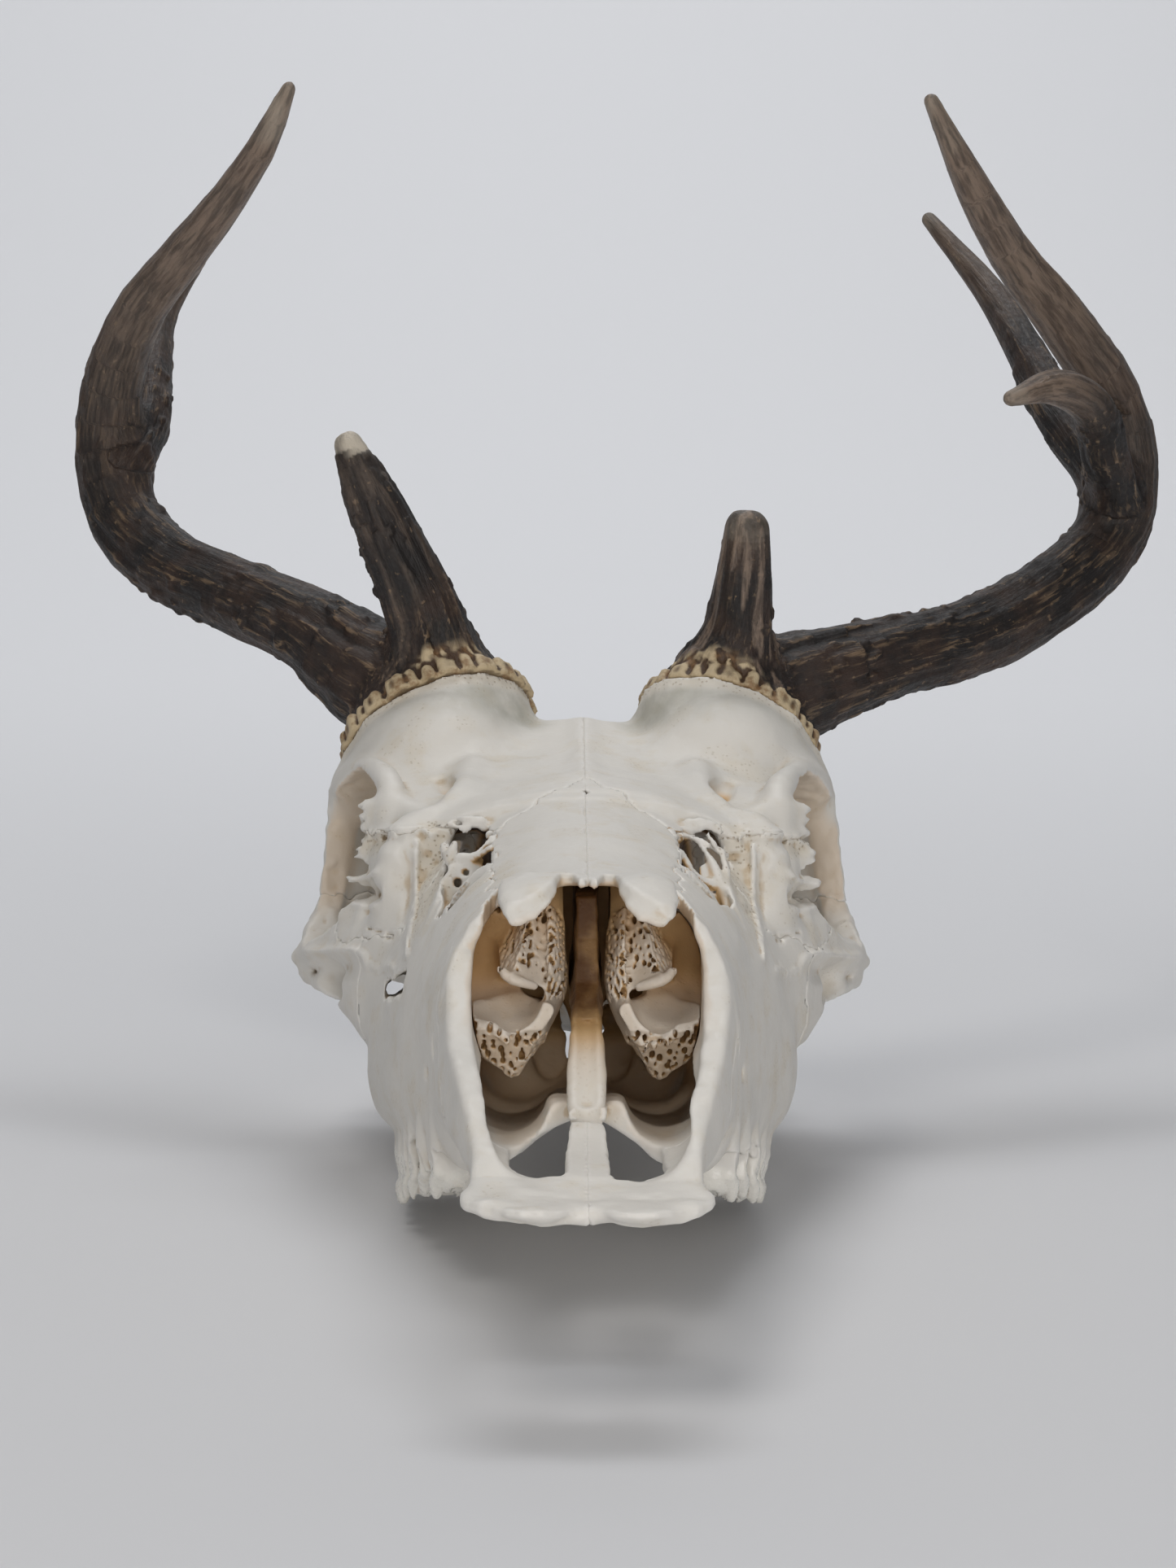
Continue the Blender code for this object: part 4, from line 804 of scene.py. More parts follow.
rearRows = [
    # crest of the neck muscles, the hollows below it and the ridge between them
    ("add", [(0, 264.5, 84.6, 1.3), (9, 264.5, 82.6, 1.2), (18, 262.5, 76.5, 1.2), (25.5, 258, 67, 1.1),
        (29.5, 254, 56, 1.1)], zUp, 1.6, 0.5),
    ("cut", (10, 271.5, 67), (7, 4.2, 8), 3, 0.5, 20),
    ("cut", (5.4, 271, 78), (3.2, 3.4, 5), 2, 0, 20),
    ("cut", (22.8, 266.4, 55), (6, 3.6, 10), 6, 0.5, 35),
    ("add", [(0, 269, 79, 1.2), (0, 268.6, 70, 1.0), (0, 267, 62, 0.9)], zUp, 1.6),
    # opening for the spinal cord, and the joint faces beside it
    ("cut", (0, 258, 47.5), (8.6, 26, 8.0), 1.6, 0.3, 0, -10),
    ("cut", [(20.5, 258, 46, 1.2), (20, 258, 37, 1.5), (14.5, 259, 28.5, 1.3), (7, 262, 27.5, 1.0)], zUp, 1.6),
    ("cut", [(5.2, 267, 29, 1.4), (4.6, 262, 27.6, 1.6)], zUp, 1.2),
    # ear, jaw joint and the nerve openings of the base
    ("cut", (42.5, 239.5, 49.5), (9, 2.5, 2.3), 0.6),
    ("add", [(40.5, 236.4, 50, 1.0), (40.8, 238.4, 52.8, 1.0), (40.8, 241.6, 52, 1.0), (40.6, 243, 49, 0.9)], zUp,
        1.0),
    ("cut", (36.5, 218, 39.6), (9, 5.4, 3.0), 1.4, 0.3, -12),
    ("add", [(27, 227, 43, 1.6), (33, 228, 40.6, 1.9), (40, 227, 43.5, 1.5)], zUp, 1.6),
    *[("cut", place, radii, 0.8) for place, radii in (
        ((30.5, 232.5, 37), (1.8, 1.6, 6)), ((23, 243, 25.5), (1.6, 2.6, 5)), ((12, 246, 28), (1.4, 2.4, 5)),
        ((20.5, 218, 33), (1.6, 3, 5)), ((31, 243.5, 42), (3, 1.2, 5)))],
    ("add", [(17, 220, 26.5, 0.9), (20.5, 226, 22.6, 0.9), (21.5, 236, 22.4, 0.8), (18, 243, 25, 0.7)], zUp, 1.4,
        0.3),
]


def addTeeth(field, sides):
    start = teethRow["start"]
    for number, (length, width, lobes) in enumerate(teethRow["sizes"]):
        for lobe in range(lobes):
            long = length / lobes
            y = start + long * (lobe + 0.5)
            x = float(curveAt(teethRow["outer"], y)) - width / 2
            tip = float(curveAt(teethRow["tip"], y)) + (teethRow["lower"] if number == teethRow["low"] else 0)
            half = width / 2

            def path(*points):  # out from the tooth's middle, part of its length, height over the tip, radii
                return [(x + out, y + long * part, tip + up, *radii) for out, part, up, *radii in points]

            # crown, then its outer and inner crescents with the hollow between them
            crown = path((0, 0, 15, half - 0.4, long * 0.5), (0, 0, 7.4, half, long * 0.5),
                         (0.3, 0, 4.8, half - 0.5, long * 0.46))
            tube(field, crown, up=(0, 1, 0), blend=1.2, sides=sides, pieces=6)
            for edge, lift in ((half - 1.5, 0.0), (1.4 - half, 1.2)):
                crescent = path((edge, -0.44, lift + 5.4, 0.9), (edge + 0.6, -0.2, lift + 3.4, 1.25),
                                (edge + 0.6, 0, lift + 0.7, 0.7), (edge + 0.6, 0.2, lift + 3.4, 1.25),
                                (edge, 0.44, lift + 5.4, 0.9))
                tube(field, crescent, blend=0.6, sides=sides, pieces=11)
            ball(field, (x, y, tip + 2.2), (max(half - 3.3, 0.9), long * 0.3, 2.4), blend=0.8, hole=True, sides=sides)
            for end in (-0.47, 0.02, 0.47):
                rib = path((half - 2.1, end, 18, 1.2), (half - 1.1, end, 12, 1.5), (half - 1.2, end, 7.5, 1.3),
                           (half - 1.7, end, 5.4, 0.8))
                tube(field, rib, up=(0, 1, 0), blend=1.6, sides=sides, pieces=7)
        ball(field, (x, start - 0.1, 5), (half + 3, 0.55, 9), blend=0.8, hole=True, sides=sides)   # between teeth
        start += length


# materials

def addNode(tree, kind, values=None, **props):
    node = tree.nodes.new(kind)
    for key, value in props.items():
        setattr(node, key, value)
    for key, value in (values or {}).items():
        if isinstance(value, bpy.types.NodeSocket):
            tree.links.new(value, node.inputs[key])
        else:
            node.inputs[key].default_value = (*value, 1) if isinstance(value, tuple) else value
    return node


class ToneGroup:  # short names for the nodes of one group
    def __init__(self, name, inputs):
        self.tree = bpy.data.node_groups.new(name, "ShaderNodeTree")
        ways = {**dict.fromkeys(inputs, "INPUT"), **dict.fromkeys(("Color", "Roughness", "Height"), "OUTPUT")}
        for key, way in ways.items():
            kind = {"Color": "Color", "Grain": "Vector"}.get(key, "Float")
            self.tree.interface.new_socket(name=key, in_out=way, socket_type="NodeSocket" + kind)
        self.given = self.tree.nodes.new("NodeGroupInput").outputs
        self.coords = addNode(self.tree, "ShaderNodeTexCoord").outputs["Object"]

    def mix(self, factor, a, b):
        values = {0: factor, 6: a, 7: b}
        return addNode(self.tree, "ShaderNodeMix", values, data_type="RGBA", clamp_factor=True).outputs[2]

    def ramp(self, value, low, high, start=0.0, end=1.0):
        values = {"Value": value, "From Min": low, "From Max": high, "To Min": start, "To Max": end}
        node = addNode(self.tree, "ShaderNodeMapRange", values, clamp=True, interpolation_type="SMOOTHSTEP")
        return node.outputs["Result"]

    def maths(self, operation, a, b):
        return addNode(self.tree, "ShaderNodeMath", {0: a, 1: b}, operation=operation).outputs[0]

    def times(self, a, b):
        return self.maths("MULTIPLY", a, b)

    def noise(self, scale, detail=3.0, roughness=0.55, distortion=0.0, at=None):
        values = {"Vector": at or self.coords, "Scale": scale, "Detail": detail, "Roughness": roughness,
                  "Distortion": distortion}
        return addNode(self.tree, "ShaderNodeTexNoise", values).outputs["Fac"]

    def finish(self, colour, rough, height):
        end = self.tree.nodes.new("NodeGroupOutput")
        for key, value in (("Color", colour), ("Roughness", rough), ("Height", height)):
            self.tree.links.new(value, end.inputs[key])
        return self.tree


boneInputs = ("Proud", "Stain_and_shade", "Enamel", "Spongy", "Veil_and_shade")
boneTones = {
    "white": (0.76, 0.725, 0.665), "cream": (0.70, 0.62, 0.49), "grey": (0.60, 0.585, 0.55),
    "paintedRidgeHighlight": (0.84, 0.81, 0.76),
    "paintedCreviceShade": (0.47, 0.335, 0.18), "veil_and_shade": (0.43, 0.42, 0.36), "pore": (0.40, 0.30, 0.19),
    "orange": (0.64, 0.40, 0.17), "deep": (0.085, 0.033, 0.006),
    "enamel": (0.82, 0.79, 0.72), "toothStain": (0.22, 0.13, 0.065),
}


def boneGroup():
    t = boneTones
    g = ToneGroup("boneTone", boneInputs)
    mix, ramp, times = g.mix, g.ramp, g.times
    proud, stain_and_shade, enamel, spongy, veil_and_shade = (g.given[key] for key in boneInputs)
    patches, fine = g.noise(105, 4, 0.6), g.noise(700, 3, 0.6)
    colour = mix(ramp(patches, 0.5, 0.72, 0, 0.5), t["white"], t["cream"])
    colour = mix(ramp(g.noise(32, 2), 0.5, 0.7, 0, 0.35), colour, t["grey"])
    # grey band on the pedicle's neck: partly the pedicle's own grey tint, partly painted shade under the burr's
    # overhang
    colour = mix(times(veil_and_shade, ramp(patches, 0.25, 0.6, 0.35, 0.85)), colour, t["veil_and_shade"])
    colour = mix(times(spongy, 0.55), colour, t["cream"])
    # painted shade: hollow places darken towards a brown crevice tone, less where the bone is stained
    hollow = ramp(proud, 0.46, 0.2)
    colour = mix(times(hollow, ramp(stain_and_shade, 0, 0.5, 0.62, 0.1)), colour, t["paintedCreviceShade"])
    # painted highlight: proud ridges and edges lighten towards a brighter bone tone
    colour = mix(ramp(proud, 0.55, 0.8, 0, 0.6), colour, t["paintedRidgeHighlight"])
    cells = addNode(g.tree, "ShaderNodeTexVoronoi", {"Vector": g.coords, "Scale": 950.0, "Randomness": 1.0})
    pores = times(ramp(cells.outputs["Distance"], 0.3, 0.14), g.maths("MAXIMUM", spongy, ramp(patches, 0.56, 0.7, 0,
        0.4)))
    colour = mix(times(pores, 0.6), colour, t["pore"])
    # stained bone goes orange, then deep brown; the stain mark is the nose's real brown stain and also painted shade
    # in the eye socket, the ear and spinal openings, the gap before the eye and the scrolls' holes
    deep = mix(times(ramp(stain_and_shade, 0.5, 1.0), ramp(patches, 0.3, 0.6, 0.7, 1.0)), t["orange"], t["deep"])
    colour = mix(ramp(stain_and_shade, 0.0, 0.75), colour, deep)
    tooth = mix(hollow, t["enamel"], t["toothStain"])
    tooth = mix(ramp(g.noise(260, 3), 0.55, 0.75, 0, 0.5), tooth, t["cream"])
    rough = g.maths("SUBTRACT", ramp(fine, 0.3, 0.7, 0.46, 0.66), times(enamel, 0.28))
    height = g.maths("ADD", times(fine, 0.5), times(patches, 0.6))
    return g.finish(mix(enamel, colour, tooth), rough, g.maths("SUBTRACT", height, times(pores, 1.2)))


antlerInputs = ("Proud", "Ridge", "Polish", "Tip", "Pearl", "Dark", "Grain")
antlerTones = {
    "black": (0.009, 0.006, 0.005), "brown": (0.036, 0.019, 0.012), "tan": (0.27, 0.18, 0.105),
    "grey": (0.235, 0.17, 0.125),
    "tip": (0.60, 0.53, 0.43), "pearl": (0.58, 0.46, 0.29), "pearlCleftShade": (0.07, 0.037, 0.018),
    "pearlStain": (0.25, 0.135, 0.055),
}


def antlerGroup():
    t = antlerTones
    g = ToneGroup("antlerTone", antlerInputs)
    mix, ramp, times = g.mix, g.ramp, g.times
    proud, ridge, polish, tip, onBurr, dark, grain = (g.given[key] for key in antlerInputs)
    patches, fine, specks = g.noise(85, 4, 0.6), g.noise(1100, 3, 0.6), g.noise(620, 2, 0.5)
    fibres = g.noise(0.95, 5, 0.62, 0.3, grain)   # grain runs along the branch, and the fibres follow it
    colour = mix(ramp(patches, 0.40, 0.66), t["black"], t["brown"])
    streak = times(ramp(ridge, 0.35, 0.95, 0.15, 1.0), ramp(fibres, 0.50, 0.66))
    colour = mix(times(streak, ramp(dark, 0.1, 0.9, 0.62, 0.16)), colour, t["tan"])
    colour = mix(times(dark, 0.8), colour, t["black"])
    colour = mix(ramp(times(specks, ramp(fibres, 0.3, 0.7, 0.8, 1.1)), 0.64, 0.74, 0, 0.55), colour, t["tan"])
    colour = mix(times(polish, ramp(fibres, 0.36, 0.62, 0.35, 1.0)), colour, t["grey"])
    # painted shade: hollows of the bark darken towards black
    colour = mix(ramp(proud, 0.48, 0.3, 0, 0.6), colour, t["black"])
    colour = mix(times(tip, ramp(fibres, 0.3, 0.5, 0.7, 1.0)), colour, t["tip"])
    # painted shade: the clefts between the pearls are dark, the pearls themselves ivory
    pearl = mix(ramp(proud, 0.4, 0.66), t["pearlCleftShade"], t["pearl"])
    pearl = mix(ramp(g.noise(240, 4, 0.65), 0.46, 0.66, 0, 0.85), pearl, t["pearlStain"])
    rough = g.maths("SUBTRACT", ramp(fine, 0.3, 0.7, 0.5, 0.68), times(polish, 0.14))
    return g.finish(mix(onBurr, colour, pearl), rough, g.maths("ADD", times(fibres, 1.7), times(specks, 0.5)))


def makeMaterial(name, group, inputs, bump):
    material = bpy.data.materials.new(name)
    material.use_nodes = True
    tree = material.node_tree
    tone = addNode(tree, "ShaderNodeGroup", node_tree=group)
    for key in inputs:
        mark = addNode(tree, "ShaderNodeAttribute", attribute_name=key.lower())
        tree.links.new(mark.outputs["Vector" if key == "Grain" else "Fac"], tone.inputs[key])
    relief = addNode(tree, "ShaderNodeBump", {"Height": tone.outputs["Height"], "Distance": bump, "Strength": 0.6})
    for node, output, key in ((tone, "Color", "Base Color"), (tone, "Roughness", "Roughness"),
        (relief, "Normal", "Normal")):
        tree.links.new(node.outputs[output], tree.nodes["Principled BSDF"].inputs[key])
    return material


bone, horn = (boneGroup(), boneInputs), (antlerGroup(), antlerInputs)
finishes = {  # by slot: name, tones, depth of the bumps in metres
    "bone": ("bone", bone, 0.00025), "bone_inner": ("boneInner", bone, 0.00025),
    "burr_ivory": ("burrIvory", horn, 0.0005),
    "antler_dark": ("antlerDark", horn, 0.0006), "antler_brown": ("antlerBrown", horn, 0.0005),
}
materials = {slot: makeMaterial(name, *tones, bump) for slot, (name, tones, bump) in finishes.items()}
print("materials made")


# bones

def nosePassage(x, y, z, low, wider, higher, power):  # 1 at the wall of the nose passage and 0 in its middle
    w = curveAt(nose["half"], y) + wider
    mid = curveAt(nose["mid"], y)
    top = curveAt(skull["roof"], y) - curveAt(nose["roofThick"], y) + higher
    h = np.where(z > mid, top - mid, mid - low)
    return (np.abs(x / w) ** power + np.abs((z - mid) / h) ** power) ** (1 / power)


def inNose(points, normal):  # 1 on the inner faces of the nose
    x, y, z = points.T
    mid = curveAt(nose["mid"], y)
    low = curveAt(nose["floor"], y) - 3 - 6 * np.exp(-((np.abs(x) - 13) / 6) ** 2)
    r = nosePassage(x, y, z, low, 2.4, 1.5, 3)
    inward = -(x * normal[:, 0] + (z - mid) * normal[:, 2]) / np.hypot(x, z - mid)
    return ramp(r, 1.1, 1.0) * ramp(y, 165, 155) * np.maximum(ramp(inward, -0.1, 0.3), ramp(r, 0.9, 0.8))


def depthBelow(points, whole):  # depth in mm below the surface as it was before the openings were cut
    at = (points * np.where(points[:, :1] < 0, [[-1, 1, 1]], [[1, 1, 1]]) - whole.low) / whole.step
    at = np.clip(at, 0, np.array(whole.d.shape) - 1.001)
    i = at.astype(int)
    return -cornerSum(whole.d, i, at - i)


def fromSeat(x, y, z):  # height of points over the antler's seat and their distance from its axis
    q = np.stack([x, y, z], 1) - np.array(pedicle["head"])
    axis = np.array(pedicle["axis"])
    lift = q @ axis
    return lift, np.linalg.norm(q - lift[:, None] * axis, axis=1)


zones = {  # where marks are: x from the midline, y and z, each as start, full, full, end
    "gapWall": ((15, 17, 31, 33), (95, 101, 160, 172), (44, 48, far, far + 1)),
    "gapRim": ((24, 26, 32, 33), (112, 120, 154, 158), (44, 47, 72, 74)),
    "browRim": ((31, 33, 44, 46), (144, 147, 160, 166), (66, 68.5, 71, 72.5)),
    # spinal: inside the spinal opening, coloured dark as painted shade
    "spinal": ((-2, -1, 8, 9.5), (200, 215, 244, 263), (34, 39, 57, 62)),
}
ears = {"y": 239.5, "z": 49.5, "radius": (3.4, 2.4), "x": (28, 30, 38, 42.5)}
gumLine = {"z": 9.5, "wave": 1.5, "soft": 0.8, "y": (80, 82, 160, 163), "inside": (17, 15.5)}


def boneMarks(points, normal):
    x, y, z = points.T
    a = np.abs(x)
    inner = inNose(points, normal)
    low = ramp(z, 34, 28)
    stain_and_shade = 0.22 + 0.18 * ramp(y, 56, 68) * (1 - low) + (0.36 - 0.12 * low) * ramp(y, 68, 125)
    stain_and_shade = inner * stain_and_shade * ramp(y, 44, 56)
    row = curveAt(teethRow["outer"], y)
    g = gumLine
    gum = g["z"] + g["wave"] * pointNoise(points, (3, 3, 3), 31)
    enamel = ramp(z, gum + g["soft"], gum - g["soft"]) * within(y, *g["y"]) * ramp(a, *(row - k for k in g["inside"]))
    cut = np.minimum(depthBelow(points, forms), 12)
    gapWall, gapRim, browRim, spinal = (math.prod(within(v, *stops) for v, stops in zip((a, y, z), zone))
                                        for zone in zones.values())
    # walls of the gap before the eye go brown with depth below the old surface: partly the inner bone's stain, partly
    # painted shade of the deep gap
    stain_and_shade = np.maximum(stain_and_shade, gapWall * ramp(cut, 1.5, 5) * ramp(y, 112, 130))
    # painted shade: faces turned into the eye socket get a light brown, as the socket's inside falls in shade
    eye = ellipsoid(a, y, z, orbit["centre"], orbit["radii"], orbit["turn"])
    inward = np.array(orbit["centre"]) * np.where(x < 0, [[-1], [1], [1]], 1).T - points
    facing = np.sum(inward * normal, 1) / np.linalg.norm(inward, axis=1)
    stain_and_shade = np.maximum(stain_and_shade, 0.3 * ramp(eye, 4.5, 1.5) * ramp(facing, 0.25, 0.6) * ramp(z, 52, 60))
    # painted shade: the walls inside the ear canal and around the spinal opening are coloured dark brown, as these
    # openings fall in shade
    earY, earZ = y - ears["y"], z - ears["z"]
    ear = ramp(np.hypot(earY, earZ), *ears["radius"]) * within(a, *ears["x"])
    ear = ear * (earY * normal[:, 1] + earZ * normal[:, 2] < 0)
    stain_and_shade = np.maximum(stain_and_shade, 0.8 * np.maximum(spinal, ear))
    spot = ramp(pointNoise(points, (5, 5, 5), 32), 0.25, 0.7)
    spongy = np.clip(gapRim + 0.8 * browRim + 0.35 * spot, 0, 1) * (1 - inner)
    lift, away = fromSeat(a, y, z)
    # band just below the antler's seat: partly the pedicle's grey tint, partly painted shade under the burr
    veil_and_shade = ramp(away, 26, 18) * ramp(lift, -18, -9) * ramp(lift, -1.5, -4.5)
    spongy = np.maximum(spongy, 0.9 * ramp(away, 26, 18) * ramp(lift, -4, -1.5))
    return {"stain_and_shade": stain_and_shade, "enamel": enamel, "spongy": spongy, "veil_and_shade": veil_and_shade}


pieceBoxes = {  # x low and high, y, z
    "nasal": ((-1, 20), (48, 152), (44, 87), 0.5), "premaxilla": ((-1, 28), (-2, 78), (2, 64), 0.5),
    "frontal": ((-1, 63), (100, 224), (54, 116), 0.62), "lacrimal": ((18, 50), (120, 180), (44, 84), 0.5),
    "zygomatic": ((30, 63), (136, 216), (26, 88), 0.5), "maxilla": ((-1, 52), (32, 170), (-5, 86), 0.57),
}
order = list(bones)
forms = skullForms()
print("skull forms summed")


def detail(field):
    addForms(field, crests, noiseSum(field, (1.3, 14, 0.45), (2.6, 15, 0.4)))
    if field.axes[1][-1] > 214:
        addForms(field, rearRows, noiseSum(field, (2.4, 18, 0.45), (5, 19, 0.5)))
    drawRelief(field)
    cutOpenings(field)
    x, y, z = field.grid(float)
    ax = np.abs(x)
    field.d += noiseSum(field, (13, 1, 0.42), (5.5, 2, 0.2), ((2.2, 4.5, 2.2), 3, 0.10))
    tip = 0.4 * ramp(y, 15, 7)
    behindEye = 0.6 * ramp(ax, 49.5, 52.5) * ramp(z, 50, 56) * ramp(z, 84, 78) * ramp(y, 180, 186)
    gap = 0.5 * ramp(ax, 25, 26.5) * ramp(ax, 33, 31.5) * ramp(y, 116, 122) * ramp(z, 73, 71) * ramp(z, 44, 47)
    field.d += noiseSum(field, (1.8, 16, 0.5), (3.4, 17, 0.5)) * (tip + behindEye + gap)
    # worn flat where the skull stands
    field.limit(0.02 - 1000 * (toPart[2][1] * y + toPart[2][2] * z + toPart[2][3]))


def boneField(low, high, step, teethSides=()):
    field = Field(low, high, step * coarse)
    field.d = sampled(forms, field)
    if teethSides:
        addTeeth(field, teethSides)
    detail(field)
    return field


def sideName(side):
    return "left" if side > 0 else "right"


def halfPiece(kind, side):
    (x0, x1), yRange, zRange, step = pieceBoxes[kind]
    low, high = (x0, x1) if side > 0 else (-x1, -x0)
    teeth = (side,) if kind == "maxilla" else ()
    field = boneField((low, yRange[0], zRange[0]), (high, yRange[1], zRange[1]), step, teeth)
    jag = serration(field)
    x, y, _ = field.grid(float)
    junction = suture["junction"]
    middle = x * side - jag * 0.14 * side
    middle = middle + junction["more"] * np.exp(-((y - junction["y"]) / junction["wide"]) ** 2)
    field.limit(boneRegion(field, kind, jag) + suture["gap"],
                *(-boneRegion(field, other, jag) + suture["gap"] for other in order[:order.index(kind)]),
                suture["midline"] - middle)
    name = f"{kind}_{sideName(side)}"
    makePiece(name + "_bone", field, name, "bone", boneMarks)


rearBoxes = {"occipital": ((-42, 236, 2), (42, 286, 90), 0.75), "braincase": ((-56, 118, 14), (56, 264, 104), 0.8)}


def rearPiece(name):
    field = boneField(*rearBoxes[name])
    jag = serration(field)
    back = np.maximum(field.outline(occipitalSide, "yz") + jag, np.abs(field.grid()[0]) - 60)
    if name == "occipital":
        field.limit(back + suture["gap"])
    else:
        field.limit(suture["gap"] - back, *(-boneRegion(field, other, jag) + suture["gap"] for other in order))
    makePiece(name + "_bone", field, name, "bone", boneMarks)


for kind in order:
    for side in bothSides:
        halfPiece(kind, side)
for name in rearBoxes:
    rearPiece(name)
print("bones skinned")


# inside the nose: scrolls and the vomer

scrolls = {
    "grid": ((1.5, 63, 23), (22, 112, 61), 0.33),
    "hood": [((12.6, 70.8, 44.5), (0.817, -0.329, 0.476)), ((12.6, 70.8, 44.5), (-0.666, -0.659, 0.352)),
        ((10.6, 71, 42.1), (0.32, 0, -0.94)), ((15.3, 75, 46), (1, 0, -0.1)), ((4.4, 75, 46), (-1, 0, 0)),
        ((9, 111, 46), (0, 1, 0))],
    "medial": [(5.4, 84, 52, 5.5, 1.1), (5.2, 79.5, 46.5, 5, 1.1), (5.4, 77.5, 41.5, 4.6, 1.1),
        (7.2, 76, 36.4, 4.2, 1.1), (9.8, 75.5, 31.5, 4, 1.3), (12.2, 78, 27.4, 4, 1.2)],
    "wedge": [(7.0, 37.5), (9.9, 32.6), (12.4, 27.6), (13.6, 27.4), (19.2, 31.4), (19.2, 37.4), (12, 38.8)],
    "cups": [((13.6, 72, 42.6), (6.6, 12, 8.6), 24), ((15.5, 71, 41), (6.5, 10, 6), 22)],
    "holes": 340,
    "apart": 1.15, "most": 60000,   # least distance of the holes, and how many places are tried
    "front": {"y": 67.5, "z": 34, "zSlope": 0.95, "x": 16, "xSlope": 0.15, "back": 111},   # of the wedge
    "sheet": {"y": 87, "z": 47, "curve": 0.07, "x": 12, "slope": 0.25, "half": 1.3, "low": 36},   # behind the hood
    "lips": [  # the lip of the hood rolls under, and the torn edge of the cup
        ("add", [(15.0, 70.6, 44.4, 0.8), (13.6, 69.8, 42.9, 0.9), (11.4, 70.2, 42.2, 0.9), (9.2, 71.6, 41.6, 0.7)],
            zUp, 1.2),
        ("add", [(19.8, 69.2, 35.2, 0.7), (16.6, 68.6, 34.6, 0.8), (14.4, 68.2, 32.8, 0.8), (12.8, 68.2, 31.2, 0.8),
            (11, 69, 30.8, 0.8), (8.2, 71, 33.8, 0.7), (7.2, 72.4, 37.6, 0.6)], zUp, 1.4, 0.4),
    ],
}


def pierce(field, count, seed, allowed):  # small drawn-out holes over the surface
    rng = np.random.default_rng(seed)
    near = np.argwhere(np.abs(field.d[1:-1, 1:-1, 1:-1]) < field.step * 0.5) + 1
    near = near[rng.permutation(len(near))[:scrolls["most"]]]
    slope = np.stack([field.d[tuple((near + o).T)] - field.d[tuple((near - o).T)] for o in np.eye(3, dtype=int)], 1)
    slope /= np.linalg.norm(slope, axis=1)[:, None] + 1e-6
    spots = np.array(field.low) + near * field.step
    good = allowed(spots, slope)
    spots, slope = spots[good], slope[good]
    taken = np.zeros((0, 3))
    for place, out in zip(spots, slope):
        if len(taken) and np.min(np.linalg.norm(taken - place, axis=1)) < scrolls["apart"] * rng.uniform(1.0, 1.7):
            continue
        taken = np.vstack([taken, place])
        long = np.cross(out, (1, 0.3, 0.2))
        long /= np.linalg.norm(long)
        wide = np.cross(out, long)
        size = rng.uniform(0.45, 1.15)
        cut, (x, y, z) = field.window(place - 2.6, place + 2.6)
        q = [((x - place[0]) * a[0] + (y - place[1]) * a[1] + (z - place[2]) * a[2]) / r
             for a, r in ((long, 0.95 * size), (wide, 0.48 * size), (out, 2.3))]
        hole = (np.sqrt(q[0] ** 2 + q[1] ** 2 + q[2] ** 2) - 1) * 0.48 * size
        field.d[cut] = np.maximum(field.d[cut], -hole)
        if len(taken) >= count:
            break


def innerMarks(stain_and_shade, spongy):
    return {"stain_and_shade": np.clip(stain_and_shade, 0, 1), "enamel": 0 * stain_and_shade, "spongy": spongy + 0 * stain_and_shade, "veil_and_shade": 0 * stain_and_shade}


